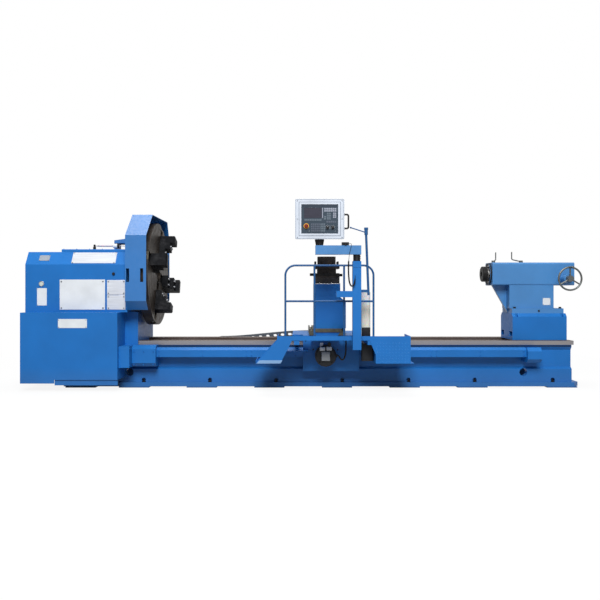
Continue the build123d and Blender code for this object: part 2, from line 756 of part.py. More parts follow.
def guard_stay():
    """The bent bracket from the headstock lid to the back of the hood, with two side cheeks."""
    lid = HEAD_TOP + TOP_COVER_HEIGHT
    right = -GUARD_WIDTH
    left = right - STAY_LENGTH
    half = STAY_WIDTH / 2
    outer = [
        (left, lid),
        (left, lid + STAY_END_RISE),
        (right, lid + STAY_RISE),
        (right, lid + STAY_RISE - GUARD_SHEET),
        (left + GUARD_SHEET, lid + STAY_END_RISE - GUARD_SHEET),
        (left + GUARD_SHEET, lid),
    ]
    cheek = [outer[1], outer[2], (right, lid + STAY_CHEEK_FOOT), (left, lid + STAY_CHEEK_FOOT)]
    cheeks = [prism_y(cheek, (y, y + GUARD_SHEET)) for y in (-half, half - GUARD_SHEET)]
    return joined([prism_y(outer, (-half, half))] + cheeks)


def oil_pipe():
    """The lubrication pipe on the lid, with its post."""
    z = HEAD_TOP + TOP_COVER_HEIGHT
    left = -GUARD_WIDTH - OIL_PIPE_LENGTH
    post = rod_z((z, z + OIL_PIPE_RISE + OIL_POST_RADIUS), OIL_POST_RADIUS, left, OIL_PIPE_Y)
    pipe = rod_x((left, -GUARD_WIDTH), OIL_PIPE_RADIUS, OIL_PIPE_Y, z + OIL_PIPE_RISE)
    fitting_x = left + OIL_FITTING_AT
    fitting = rod_x((fitting_x, fitting_x + OIL_FITTING[1]), OIL_FITTING[0], OIL_PIPE_Y, z + OIL_PIPE_RISE)
    return joined([post, pipe, fitting])


# Spindle and drive

def spindle():
    """The hollow spindle with its nose flange."""
    x0 = END_LEFT + SHEET + PULLEY_LIP
    rear_end = HEAD_X[0] + BEARING_WALL[1]
    front_start = HEAD_X[1] - BEARING_WALL[0]
    nose_x = -FACEPLATE_DEPTH - NOSE_LENGTH
    shaft = joined([
        rod_x((x0, HEAD_X[0]), PULLEY_SEAT, 0, AXIS_Z),
        rod_x((HEAD_X[0], rear_end), REAR_JOURNAL, 0, AXIS_Z),
        rod_x((rear_end, front_start), SHAFT_RADIUS, 0, AXIS_Z),
        rod_x((front_start, nose_x), FRONT_JOURNAL, 0, AXIS_Z),
        rod_x((nose_x, -FACEPLATE_DEPTH), NOSE_RADIUS, 0, AXIS_Z),
    ])
    return shaft - rod_x((x0 - 1, 0), SPINDLE_BORE, 0, AXIS_Z)


def bearing(x0, size, journal):
    """One bearing ring between the spindle and its bore."""
    radius, width = size
    ring = rod_x((x0, x0 + width), radius - SEAT_GAP, 0, AXIS_Z)
    return ring - rod_x((x0 - 1, x0 + width + 1), journal + RUN_GAP, 0, AXIS_Z)


def pulley(x, radius, y, z):
    """A belt pulley with raised lips at both edges."""
    lips = rod_x(x, radius + BELT_THICKNESS / 2, y, z)
    rim = (x[0] + PULLEY_LIP / 2, x[1] - PULLEY_LIP / 2)
    belt_room = rod_x(rim, radius + BELT_THICKNESS, y, z) - rod_x(rim, radius, y, z)
    return lips - belt_room


def pulley_span():
    """The X limits that both pulleys share."""
    x0 = END_LEFT + SHEET + PULLEY_LIP
    return (x0, x0 + PULLEY_WIDTH)


def spindle_pulley():
    """The large pulley, with its seat bored for the spindle."""
    x = pulley_span()
    bore = rod_x((x[0] - 1, x[1] + 1), PULLEY_SEAT + SEAT_GAP, 0, AXIS_Z)
    return pulley(x, SPINDLE_PULLEY, 0, AXIS_Z) - bore


def motor_pulley():
    """The small pulley with the motor's shaft."""
    x = pulley_span()
    shaft = rod_x((x[1], HEAD_X[0] + MOTOR_LENGTH / 2), MOTOR_SHAFT, MOTOR_Y, MOTOR_Z)
    return joined([pulley(x, MOTOR_PULLEY, MOTOR_Y, MOTOR_Z), shaft])


def belt_outline(grow):
    """The (Y, Z) loop round both pulleys."""
    reach = hypot(MOTOR_Y, AXIS_Z - MOTOR_Z)
    lean = degrees(atan2(AXIS_Z - MOTOR_Z, -MOTOR_Y))
    small = Circle(MOTOR_PULLEY + grow)
    large = Pos(reach, 0) * Circle(SPINDLE_PULLEY + grow)
    hull = make_hull(small.edges() + large.edges())
    return Pos(MOTOR_Y, MOTOR_Z) * Rot(0, 0, lean) * hull


def drive_belts():
    """The flat-backed belt between the pulleys."""
    x = pulley_span()
    rim = (x[0] + PULLEY_LIP / 2 + SLIDE_GAP, x[1] - PULLEY_LIP / 2 - SLIDE_GAP)
    band = belt_outline(SLIDE_GAP + BELT_THICKNESS) - belt_outline(SLIDE_GAP)
    return extrude(Plane.YZ.offset(rim[0]) * band, amount=rim[1] - rim[0], dir=(1, 0, 0))


def main_motor():
    """The main motor, foot-mounted on a bracket from the bed."""
    x = (HEAD_X[0] + SHEET, HEAD_X[0] + SHEET + MOTOR_LENGTH)
    shell = rod_x(x, MOTOR_RADIUS, MOTOR_Y, MOTOR_Z)
    bore = rod_x((x[0] - 1, x[0] + MOTOR_LENGTH / 2), MOTOR_SHAFT + RUN_GAP, MOTOR_Y, MOTOR_Z)
    reach, drop = MOTOR_FOOT
    foot_z = (MOTOR_Z - MOTOR_RADIUS - drop, MOTOR_Z - MOTOR_RADIUS / 2)
    feet = block((x[0] + reach, x[1] - reach), (MOTOR_Y - reach, MOTOR_Y + reach), foot_z)
    return joined([shell, feet]) - bore


def motor_bracket():
    """The shelf that carries the motor, bolted to the plinth."""
    reach, drop = MOTOR_FOOT
    x = (BED_X[0], HEAD_X[0] + SHEET + MOTOR_LENGTH - reach)
    top = MOTOR_Z - MOTOR_RADIUS - drop
    front = MOTOR_Y - reach
    low = (FLANGE_TOP + PLINTH_TOP) / 2
    outline = [
        (front, top),
        (-WAIST_REACH, top),
        (-WAIST_REACH, PLINTH_TOP + PLINTH_SLOPE),
        (-PLINTH_REACH, PLINTH_TOP),
        (-PLINTH_REACH, low),
        (-FLANGE_REACH, low),
        (front, top - 2 * SHEET),
    ]
    return prism_x(outline, x)


# Faceplate and jaws

def chuck_slot(angle):
    """One radial slot for a jaw's tongue."""
    half = JAW_SLOT_WIDTH / 2 + SLIDE_GAP
    slot = block(
        (-JAW_SLOT_DEPTH, 1),
        (-half, half),
        (AXIS_Z + JAW_SLOT_INNER, AXIS_Z + FACEPLATE_RADIUS + 1),
    )
    return turned(slot, angle)


def turned(shape, angle):
    """A shape turned about the spindle axis."""
    return Pos(0, 0, AXIS_Z) * Rot(angle, 0, 0) * Pos(0, 0, -AXIS_Z) * shape


def jaw_angle(number):
    """How far a jaw stands from upright, about X."""
    return CHUCK_TURN + number * 360 / JAW_COUNT


def faceplate():
    """The faceplate with jaw slots and turned rings on its face."""
    rim = rod_x((-FACEPLATE_RIM, 0), FACEPLATE_RADIUS, 0, AXIS_Z)
    hub = rod_x((-FACEPLATE_DEPTH, -FACEPLATE_RIM), FACEPLATE_HUB, 0, AXIS_Z)
    plate = joined([rim, hub]) - rod_x((-FACEPLATE_DEPTH - 1, 1), FACEPLATE_HOLE, 0, AXIS_Z)
    grooves = []
    for radius in FACE_GROOVES:
        depth = (-FACE_GROOVE_DEPTH, 1)
        ring = rod_x(depth, radius + FACE_GROOVE_WIDTH, 0, AXIS_Z) - rod_x(depth, radius, 0, AXIS_Z)
        grooves.append(ring)
    return plate - grooves - [chuck_slot(jaw_angle(i)) for i in range(JAW_COUNT)]


def chuck_jaw(number):
    """One stepped jaw with its tongue in the slot."""
    radius = JAW_INNER
    points = [(SLIDE_GAP, radius)]
    for length, height in JAW_STEPS:
        points += [(height, radius), (height, radius + length)]
        radius += length
    points[-1] = (points[-1][0], radius - JAW_CHAMFER)
    points += [(points[-1][0] - JAW_CHAMFER, radius), (SLIDE_GAP, radius)]
    outline = [(x, AXIS_Z + r) for x, r in points]
    body = prism_y(outline, (-JAW_WIDTH / 2, JAW_WIDTH / 2))
    half = JAW_SLOT_WIDTH / 2
    tongue_z = (AXIS_Z + JAW_INNER, AXIS_Z + radius)
    tongue = block((-JAW_SLOT_DEPTH + SLIDE_GAP, SLIDE_GAP), (-half, half), tongue_z)
    return turned(joined([body, tongue]), jaw_angle(number))


# Z feed in front of the bed

def screw_cover(number):
    """One length of the folded cover over the feed screw, with an arm to the bed at each end."""
    span = (END_BRACKET_X - GEARBOX_X[1]) / COVER_COUNT
    x = (GEARBOX_X[1] + number * span, GEARBOX_X[1] + (number + 1) * span)
    outer = [
        (-COVER_FRONT, COVER_BOTTOM),
        (-COVER_FRONT, COVER_TOP - COVER_SLOPE),
        (-COVER_FRONT + COVER_SLOPE, COVER_TOP),
        (-COVER_BACK, COVER_TOP),
        (-COVER_BACK, COVER_BOTTOM),
    ]
    s = COVER_SHEET
    inner = [
        (-COVER_FRONT + s, COVER_BOTTOM - 1),
        (-COVER_FRONT + s, COVER_TOP - COVER_SLOPE - s / 2),
        (-COVER_FRONT + COVER_SLOPE + s / 2, COVER_TOP - s),
        (-COVER_BACK - s, COVER_TOP - s),
        (-COVER_BACK - s, COVER_BOTTOM - 1),
    ]
    shell = prism_x(outer, x) - prism_x(inner, (x[0] - 1, x[1] + 1))
    long, tall = COVER_ARM
    arm_z = (COVER_BOTTOM, COVER_BOTTOM + tall)
    ends = (x[0], x[1] - long)
    arms = [block((end, end + long), (-COVER_BACK, -WAIST_REACH), arm_z) for end in ends]
    return joined([shell] + arms)


def gearbox():
    """The feed gearbox at the left end of the screw."""
    z, c = GEARBOX_Z, GEARBOX_CHAMFER
    back = -WAIST_REACH
    outline = [
        (-GEARBOX_FRONT, z[0] + c),
        (-GEARBOX_FRONT, z[1] - c),
        (-GEARBOX_FRONT + c, z[1]),
        (-NECK_FRONT, z[1]),
        (-NECK_FRONT, COVER_BOTTOM + COVER_ARM[1]),
        (back, COVER_BOTTOM + COVER_ARM[1]),
        (back, z[0]),
        (-GEARBOX_FRONT + c, z[0]),
    ]
    bore = rod_x((GEARBOX_X[0] + BED_WALL, GEARBOX_X[1] + 1), Z_JOURNAL + RUN_GAP, Z_SCREW_Y, Z_SCREW_Z)
    return prism_x(outline, GEARBOX_X) - bore


def servo_cover():
    """The sheet box over the Z servo, open towards the gearbox and the bed."""
    x = (CABINET_RIGHT, GEARBOX_X[0])
    y = (-SERVO_COVER_FRONT, -NECK_FRONT)
    room_z = (GEARBOX_Z[0] + SHEET, GEARBOX_Z[1] - SHEET)
    room = block((x[0] + SHEET, x[1] + 1), (y[0] + SHEET, y[1] + 1), room_z)
    return block(x, y, GEARBOX_Z) - room


def z_servo():
    """The servo that drives the feed screw."""
    x1 = GEARBOX_X[0]
    x0 = CABINET_RIGHT + SHEET + SERVO_COVER_GAP
    half = Z_SERVO_SIZE / 2
    body = block((x0, x1), (Z_SCREW_Y - half, Z_SCREW_Y + half), (Z_SCREW_Z - half, Z_SCREW_Z + half))
    return chamfer(body.edges().filter_by(Axis.X), half / 4)


def end_bracket():
    """The bearing bracket at the right end of the screw."""
    x = (END_BRACKET_X, END_BRACKET_X + END_BRACKET_LENGTH)
    z, c = END_BRACKET_Z, GEARBOX_CHAMFER
    outline = [
        (-GEARBOX_FRONT, z[0] + c),
        (-GEARBOX_FRONT, z[1] - c),
        (-GEARBOX_FRONT + c, z[1]),
        (-WAIST_REACH, z[1]),
        (-WAIST_REACH, z[0]),
        (-GEARBOX_FRONT + c, z[0]),
    ]
    trimmed = [(y, min(height, WAY_SEAT - SHOULDER_RISE)) if y == -WAIST_REACH else (y, height)
               for y, height in outline]
    bore = rod_x((x[0] - 1, x[1] - END_CAP_LENGTH), Z_JOURNAL + RUN_GAP, Z_SCREW_Y, Z_SCREW_Z)
    return prism_x(trimmed, x) - bore


def ball_screw_z():
    """The long feed screw with a journal at each end."""
    x = (GEARBOX_X[1] + SLIDE_GAP, END_BRACKET_X - SLIDE_GAP)
    right = END_BRACKET_X + END_BRACKET_LENGTH - END_CAP_LENGTH
    journal = (GEARBOX_X[0] + BED_WALL + SLIDE_GAP, right - SLIDE_GAP)
    return joined([
        rod_x(x, Z_SCREW_RADIUS, Z_SCREW_Y, Z_SCREW_Z),
        rod_x(journal, Z_JOURNAL, Z_SCREW_Y, Z_SCREW_Z),
    ])


# Carriage

def dovetail(top, foot, z, y):
    """A dovetail section about the tool's X, drawn along Y."""
    corners = [(-foot / 2, z[0]), (-top / 2, z[1]), (top / 2, z[1]), (foot / 2, z[0])]
    return prism_y([(TOOL_X + x, height) for x, height in corners], y)


def saddle():
    """The saddle with its dovetail, front wing and chain arm."""
    x = (CARRIAGE_X - SADDLE_LENGTH / 2, CARRIAGE_X + SADDLE_LENGTH / 2)
    wing_x = (CARRIAGE_X - APRON_LENGTH / 2, CARRIAGE_X + APRON_LENGTH / 2)
    body = block(x, (-SADDLE_REACH, SADDLE_REACH), SADDLE_Z)
    wing = block(wing_x, (-APRON_FRONT, -SADDLE_REACH), (WING_BOTTOM, SADDLE_Z[1]))
    rail = dovetail(DOVETAIL_TOP, DOVETAIL_FOOT, (SADDLE_Z[1], DOVETAIL_Z), (-APRON_FRONT, SADDLE_REACH))
    arm_left = CHAIN_END_X + CHAIN_HEIGHT / 4 + SLIDE_GAP
    arm_x = (arm_left, arm_left + CHAIN_LUG)
    arm = block(arm_x, (SADDLE_REACH, CHAIN_Y + CHAIN_WIDTH / 2), SADDLE_Z)
    channel_y = (-APRON_FRONT + BED_WALL, X_SCREW_BACK + SLIDE_GAP)
    floor = X_SCREW_Z - X_CHANNEL
    channel = block((X_SCREW_X - X_CHANNEL, X_SCREW_X + X_CHANNEL), channel_y, (floor, DOVETAIL_Z + 1))
    bore = rod_y((-APRON_FRONT - 1, channel_y[0] + 1), X_SCREW_RADIUS + RUN_GAP, X_SCREW_X, X_SCREW_Z)
    return joined([body, wing, rail, arm]) - [channel, bore]


def apron():
    """The apron in front of the bed, wrapped round the screw cover, with the nut on its floor."""
    x = (CARRIAGE_X - APRON_LENGTH / 2, CARRIAGE_X + APRON_LENGTH / 2)
    back = -COVER_BACK - COVER_SHEET
    z = (APRON_BOTTOM, WING_BOTTOM)
    plate = APRON_PLATE
    tunnel = block(
        (x[0] - 1, x[1] + 1),
        (-COVER_FRONT - COVER_TUNNEL_GAP, 0),
        (COVER_BOTTOM - COVER_TUNNEL_GAP, COVER_TOP + COVER_TUNNEL_GAP),
    )
    front = block(x, (-APRON_FRONT, -APRON_FRONT + plate), z)
    floor = block(x, (-APRON_FRONT, back), (z[0], z[0] + plate))
    ends = [block((e, e + plate), (-APRON_FRONT, back), z) for e in (x[0], x[1] - plate)]
    shell = joined([front, floor] + ends) - tunnel
    nut_x = (CARRIAGE_X - NUT_LENGTH / 2, CARRIAGE_X + NUT_LENGTH / 2)
    nut = rod_x(nut_x, NUT_RADIUS, Z_SCREW_Y, Z_SCREW_Z)
    web = block(nut_x, (Z_SCREW_Y - NUT_WEB / 2, Z_SCREW_Y + NUT_WEB / 2), (z[0], Z_SCREW_Z))
    bore = rod_x((nut_x[0] - 1, nut_x[1] + 1), Z_SCREW_RADIUS + RUN_GAP, Z_SCREW_Y, Z_SCREW_Z)
    return joined([shell, nut, web]) - bore


def belt_box():
    """The cover over the cross axis's belt, on the apron's face."""
    y = (-APRON_FRONT - BELT_BOX_DEPTH, -APRON_FRONT)
    middle = SADDLE_Z[1] - 1 - BELT_BOX_HEIGHT / 2
    outer = belt_box_shape(middle, 0, y)
    return outer - belt_box_shape(middle, SHEET, (y[0] + SHEET, y[1] + 1))


def belt_box_shape(middle, inset, y):
    """The belt box's outline: a wide head over the screw and a round end about the servo."""
    size = (BELT_BOX_WIDTH - 2 * inset, BELT_BOX_HEIGHT - 2 * inset)
    head = front_plate(X_SCREW_X, middle, size, BELT_BOX_ROUND - inset, y)
    return head + rod_y(y, X_SERVO_FLANGE - inset, X_SCREW_X, X_SERVO_Z)


def ball_screw_x():
    """The cross feed screw with its pulley inside the belt box."""
    y0 = -APRON_FRONT - SLIDE_GAP
    screw = rod_y((y0 - X_PULLEY[1], X_SCREW_BACK), X_SCREW_RADIUS, X_SCREW_X, X_SCREW_Z)
    return joined([screw, rod_y((y0 - X_PULLEY[1], y0), X_PULLEY[0], X_SCREW_X, X_SCREW_Z)])


def x_servo():
    """The cross axis servo on the belt box, with its end cap and plug sockets."""
    y1 = -APRON_FRONT - BELT_BOX_DEPTH
    y0 = y1 - X_SERVO_LENGTH
    body = rod_y((y0, y1), X_SERVO_RADIUS, X_SCREW_X, X_SERVO_Z)
    body = chamfer(body.edges().group_by(Axis.Y)[0], X_SERVO_CAP[1] / 2)
    cap = rod_y((y0 - X_SERVO_CAP[1], y0), X_SERVO_CAP[0], X_SCREW_X, X_SERVO_Z)
    wide, deep, tall = X_SERVO_PLUG
    socket_y = (y0 + deep, y0 + 2 * deep)
    socket_z = (X_SERVO_Z, X_SERVO_Z + X_SERVO_RADIUS + tall)
    sockets = []
    for offset in X_SERVO_PLUGS:
        x = X_SCREW_X + offset
        sockets.append(block((x - wide / 2, x + wide / 2), socket_y, socket_z))
    side_x = (X_SCREW_X, X_SCREW_X + X_SERVO_RADIUS + tall / 2)
    sockets.append(block(side_x, socket_y, (X_SERVO_Z - wide / 2, X_SERVO_Z + wide / 2)))
    return joined([body, cap] + sockets)


def cross_slide():
    """The cross slide over the dovetail, with tee slots and its nut."""
    y = (-CROSS_FRONT, CROSS_LENGTH - CROSS_FRONT)
    x = (TOOL_X - CROSS_WIDTH / 2, TOOL_X + CROSS_WIDTH / 2)
    past = (y[0] - 1, y[1] + 1)
    top, foot = DOVETAIL_TOP + 4 * SLIDE_GAP, DOVETAIL_FOOT + 4 * SLIDE_GAP
    room = dovetail(top, foot, (CROSS_Z[0], DOVETAIL_Z + SLIDE_GAP), past)
    mouth = dovetail(foot, foot, (CROSS_Z[0] - 1, CROSS_Z[0] + 1), past)
    slot_z = (CROSS_Z[1] - TEE_SLOT_DEPTH, CROSS_Z[1] + 1)
    slots = []
    for offset in (-TEE_SLOT_OFFSET, TEE_SLOT_OFFSET):
        left = TOOL_X + offset - TEE_SLOT_WIDTH / 2
        slots.append(block((left, left + TEE_SLOT_WIDTH), past, slot_z))
    slide = block(x, y, CROSS_Z) - [room, mouth] - slots
    nut_y = (X_NUT_Y - X_NUT[1] / 2, X_NUT_Y + X_NUT[1] / 2)
    lug_x = (X_SCREW_X - X_NUT[0], X_SCREW_X + X_NUT[0])
    lug_z = (X_SCREW_Z - X_SCREW_RADIUS - 4, DOVETAIL_Z + SLIDE_GAP + 1)
    lug = block(lug_x, nut_y, lug_z)
    bore = rod_y((nut_y[0] - 1, nut_y[1] + 1), X_SCREW_RADIUS + RUN_GAP, X_SCREW_X, X_SCREW_Z)
    return joined([slide, lug]) - bore


# Tool column and turret

def tool_column():
    """The riser between the cross slide and the turret, stepped on its right side."""
    left = TOOL_X - COLUMN_LEFT
    step = CROSS_Z[1] + COLUMN_STEP_RISE
    outline = [
        (left, CROSS_Z[1]),
        (TOOL_X + COLUMN_RIGHT_FOOT, CROSS_Z[1]),
        (TOOL_X + COLUMN_RIGHT_FOOT, step),
        (TOOL_X + COLUMN_RIGHT_TOP, step + COLUMN_STEP_SLOPE),
        (TOOL_X + COLUMN_RIGHT_TOP, COLUMN_TOP),
        (left, COLUMN_TOP),
    ]
    y = (TOOL_Y - COLUMN_HALF_DEPTH, TOOL_Y + COLUMN_HALF_DEPTH)
    return prism_y(outline, y)


def square_at_tool(size, z):
    """A square block about the turret's axis."""
    half = size / 2
    return block((TOOL_X - half, TOOL_X + half), (TOOL_Y - half, TOOL_Y + half), z)


def turret_base():
    """The fixed base with the pivot pin."""
    base = square_at_tool(TURRET_SIZE, (COLUMN_TOP, TURRET_Z - SLIDE_GAP))
    base = chamfer(base.edges().filter_by(Axis.Z), TURRET_CHAMFER / 2)
    return base + rod_z((COLUMN_TOP, TOOL_FLOOR), TURRET_PIN, TOOL_X, TOOL_Y)


def turret_head():
    """The four-way head: floor, core, clamp flange and cap."""
    flange_z = (TOOL_FLOOR + TURRET_FLANGE[0], TOOL_FLOOR + sum(TURRET_FLANGE))
    floor = square_at_tool(TURRET_SIZE, (TURRET_Z, TOOL_FLOOR))
    core = square_at_tool(TURRET_CORE, (TOOL_FLOOR, flange_z[0]))
    flange = square_at_tool(TURRET_SIZE, flange_z)
    cap = square_at_tool(TURRET_CAP[0], (flange_z[1], flange_z[1] + TURRET_CAP[1]))
    cap = chamfer(cap.edges().filter_by(Axis.Z), TURRET_CHAMFER)
    socket = rod_z((TURRET_Z - 1, TOOL_FLOOR + SLIDE_GAP), TURRET_PIN + RUN_GAP, TOOL_X, TOOL_Y)
    return joined([floor, core, flange, cap]) - socket


def turret_tools():
    """One tool in each side of the head, and the clamp screws on the flange."""
    solids = []
    half = TURRET_SIZE / 2
    inner = TURRET_CORE / 2
    flange_top = TOOL_FLOOR + sum(TURRET_FLANGE)
    middle = (half + inner) / 2
    for quarter in range(4):
        tool_y = (TOOL_Y - half, TOOL_Y + half + TOOL_OVERHANG)
        tool_x = (TOOL_X - inner - TOOL_SHANK, TOOL_X - inner)
        z = (TOOL_FLOOR, TOOL_FLOOR + TOOL_SHANK)
        shank = block(tool_x, tool_y, z)
        tip = [(tool_x[0], tool_y[1] - TOOL_TIP), (tool_x[0], tool_y[1] + 1), (tool_x[1], tool_y[1] + 1)]
        shank = shank - prism_z(tip, (z[0] - 1, z[1] + 1))
        turn = Pos(TOOL_X, TOOL_Y, 0) * Rot(0, 0, 90 * quarter) * Pos(-TOOL_X, -TOOL_Y, 0)
        solids.append(turn * shank)
        screw_x = TOOL_X - middle - CLAMP_SCREW[0] / 4
        screw_z = (flange_top, flange_top + CLAMP_SCREW[1])
        for step in (-1, 1):
            screw = rod_z(screw_z, CLAMP_SCREW[0], screw_x, TOOL_Y + step * inner * 2 / 3)
            solids.append(turn * screw)
    return solids


# Operator platform

def platform_deck():
    """The deck plate with its rim and the two arms from the saddle."""
    y = (-DECK_FRONT, DECK_BACK)
    rim_z = (DECK_UNDER, DECK_TOP + RIM_HEIGHT)
    plate = block(DECK_X, y, (DECK_UNDER, DECK_TOP))
    front = block(DECK_X, (y[0], y[0] + DECK_PLATE), rim_z)
    sides = [block((x, x + DECK_PLATE), y, rim_z) for x in (DECK_X[0], DECK_X[1] - DECK_PLATE)]
    arm_z = (DECK_UNDER - ARM_HEIGHT, DECK_UNDER)
    arms = []
    for x in (CARRIAGE_X + ARM_LEFT_OFFSET, RIGHT_STEP_X[0] - ARM_STEP_GAP - ARM_WIDTH / 2):
        arms.append(block((x - ARM_WIDTH / 2, x + ARM_WIDTH / 2), (y[0] + DECK_PLATE, -SADDLE_REACH), arm_z))
    return joined([plate, front] + sides + arms)


def deck_handrail():
    """The welded handrail: a bent frame, a middle bar and two posts."""
    y = -DECK_FRONT + DECK_PLATE + RAIL_INSET
    xs = [CARRIAGE_X + offset for offset in RAIL_POSTS]
    frame = [(xs[0], y, DECK_TOP), (xs[0], y, RAIL_TOP), (xs[-1], y, RAIL_TOP), (xs[-1], y, DECK_TOP)]
    pieces = [bent_tube(frame, RAIL_RADIUS, RAIL_BEND)]
    pieces.append(rod_x((xs[0], xs[-1]), RAIL_RADIUS, y, RAIL_MIDDLE))
    pieces += [rod_z((DECK_TOP, RAIL_TOP), RAIL_RADIUS, x, y) for x in xs[1:-1]]
    return joined(pieces)


def left_step():
    """The slanted hanging step: two cheeks, a tread with an upturned lip and a brace to the apron's face."""
    top = [CARRIAGE_X + x for x in LEFT_STEP_TOP]
    foot = [CARRIAGE_X + x for x in LEFT_STEP_FOOT]
    cheek = [(top[0], DECK_UNDER), (top[1], DECK_UNDER), (foot[1], STEP_TREAD_Z), (foot[0], STEP_TREAD_Z)]
    y = (-DECK_FRONT, DECK_BACK)
    cheeks = [prism_y(cheek, (e, e + STEP_SHEET)) for e in (y[0], y[1] - STEP_SHEET)]
    tread = block((foot[0], foot[1]), y, (STEP_TREAD_Z - STEP_SHEET, STEP_TREAD_Z))
    lip = block((foot[0] - STEP_SHEET, foot[0]), y, (STEP_TREAD_Z - STEP_SHEET, STEP_TREAD_Z + STEP_LIP))
    apron_left = CARRIAGE_X - APRON_LENGTH / 2
    brace_x = (foot[1], apron_left + STEP_BRACE_LUG)
    brace_z = (STEP_BRACE_Z - STEP_BRACE_FOLD, STEP_BRACE_Z)
    back = -APRON_FRONT - STEP_SHEET
    shelf = block(brace_x, (y[1] - STEP_SHEET, back), (brace_z[1] - STEP_SHEET, brace_z[1]))
    edge = block((brace_x[0], apron_left), (y[1] - STEP_SHEET, y[1]), brace_z)
    lug = block((apron_left, brace_x[1]), (back, -APRON_FRONT), brace_z)
    return joined(cheeks + [tread, lip, shelf, edge, lug])


def right_step():
    """The chequered box step under the right end of the deck, open at the back."""
    x = RIGHT_STEP_X
    y = (-DECK_FRONT, DECK_BACK)
    z = (STEP_TREAD_Z - STEP_SHEET, DECK_UNDER)
    front = block(x, (y[0], y[0] + STEP_SHEET), z)
    sides = [block((e, e + STEP_SHEET), y, z) for e in (x[0], x[1] - STEP_SHEET)]
    tread = block((x[0], x[1] + RIGHT_STEP_FLANGE), y, (z[0], STEP_TREAD_Z))
    wide, tall = RIGHT_STEP_GUSSET
    gusset = [(x[0] - wide, z[1]), (x[0] + 1, z[1]), (x[0] + 1, z[1] - tall)]
    return joined([front, tread, prism_y(gusset, (y[0], y[0] + STEP_SHEET))] + sides)


def lube_tank():
    """The translucent oil tank on its pump base, with a filler cap."""
    x = CARRIAGE_X + TANK_CENTRE[0]
    y = TANK_CENTRE[1]
    wide, deep = TANK_SIZE
    tank = block((x - wide / 2, x + wide / 2), (y - deep / 2, y + deep / 2), TANK_Z)
    tank = fillet(tank.edges().filter_by(Axis.Z), wide / 6)
    base = block((x - wide / 2, x + wide / 2), (y - deep / 2, y + deep / 2), (DECK_TOP, TANK_Z[0]))
    cap = rod_z((TANK_Z[1], TANK_Z[1] + TANK_CAP[1]), TANK_CAP[0], x, y)
    return [base, tank, cap]


def lube_pump():
    """The pump box hung under the deck's right arm."""
    wide, deep = PUMP_SIZE
    right = RIGHT_STEP_X[0] - PUMP_STEP_GAP
    z = (PUMP_BOTTOM, DECK_UNDER - ARM_HEIGHT)
    box = block((right - wide, right), (PUMP_Y - deep / 2, PUMP_Y + deep / 2), z)
    return fillet(box.edges().filter_by(Axis.Z), wide / 8)


# Pendant

def square_tube(size, wall, x, y, z):
    """An upright square tube."""
    half = size / 2
    outer = block((x - half, x + half), (y - half, y + half), z)
    half -= wall
    return outer - block((x - half, x + half), (y - half, y + half), (z[0] - 1, z[1] + 1))


def pendant_column():
    """The square column on the deck's front edge, with the collar for the arm's pin."""
    x, y = PENDANT_CENTRE
    collar_z = (PENDANT_TOP - COLLAR_HEIGHT, PENDANT_TOP)
    tube = square_tube(PENDANT_TUBE, PENDANT_WALL, x, y, (PENDANT_FOOT, collar_z[0]))
    half = PENDANT_TUBE / 2
    collar = block((x - half, x + half), (y - half - COLLAR_EXTRA, y + half), collar_z)
    bore = rod_z((PENDANT_TOP - SWIVEL_PIN[1] - SLIDE_GAP, PENDANT_TOP + 1), SWIVEL_PIN[0] + RUN_GAP, x, y)
    return joined([tube, collar]) - bore


def pendant_shelf():
    """The small open box on the column's left side."""
    x, y = PENDANT_CENTRE
    half = PENDANT_TUBE / 2
    wide, tall = SHELF_SIZE
    s = SHELF_SHEET
    right = x - half
    floor = SHELF_TOP - tall
    outer = block((right - wide, right), (y - half, y + half), (floor, SHELF_TOP))
    room_y = (y - half + s, y + half - s)
    return outer - block((right - wide + s, right - s), room_y, (floor + s, SHELF_TOP + 1))


def pendant_arm():
    """The box arm on its swivel neck, with a pin in the column and a socket for the panel."""
    x, y = PENDANT_CENTRE
    half = PENDANT_TUBE / 2
    arm = block((x - ARM_LEFT, x + half), (y - half, y + half), ARM_Z)
    neck = rod_z((PENDANT_TOP + SLIDE_GAP, ARM_Z[0]), SWIVEL_NECK[0], x, y)
    pin = rod_z((PENDANT_TOP - SWIVEL_PIN[1], PENDANT_TOP + SLIDE_GAP), SWIVEL_PIN[0], x, y)
    socket = rod_z((ARM_Z[1] - PANEL_PIN[1] - SLIDE_GAP, ARM_Z[1] + 1), PANEL_PIN[0] + RUN_GAP, PANEL_X, y)
    return joined([arm, neck, pin]) - socket


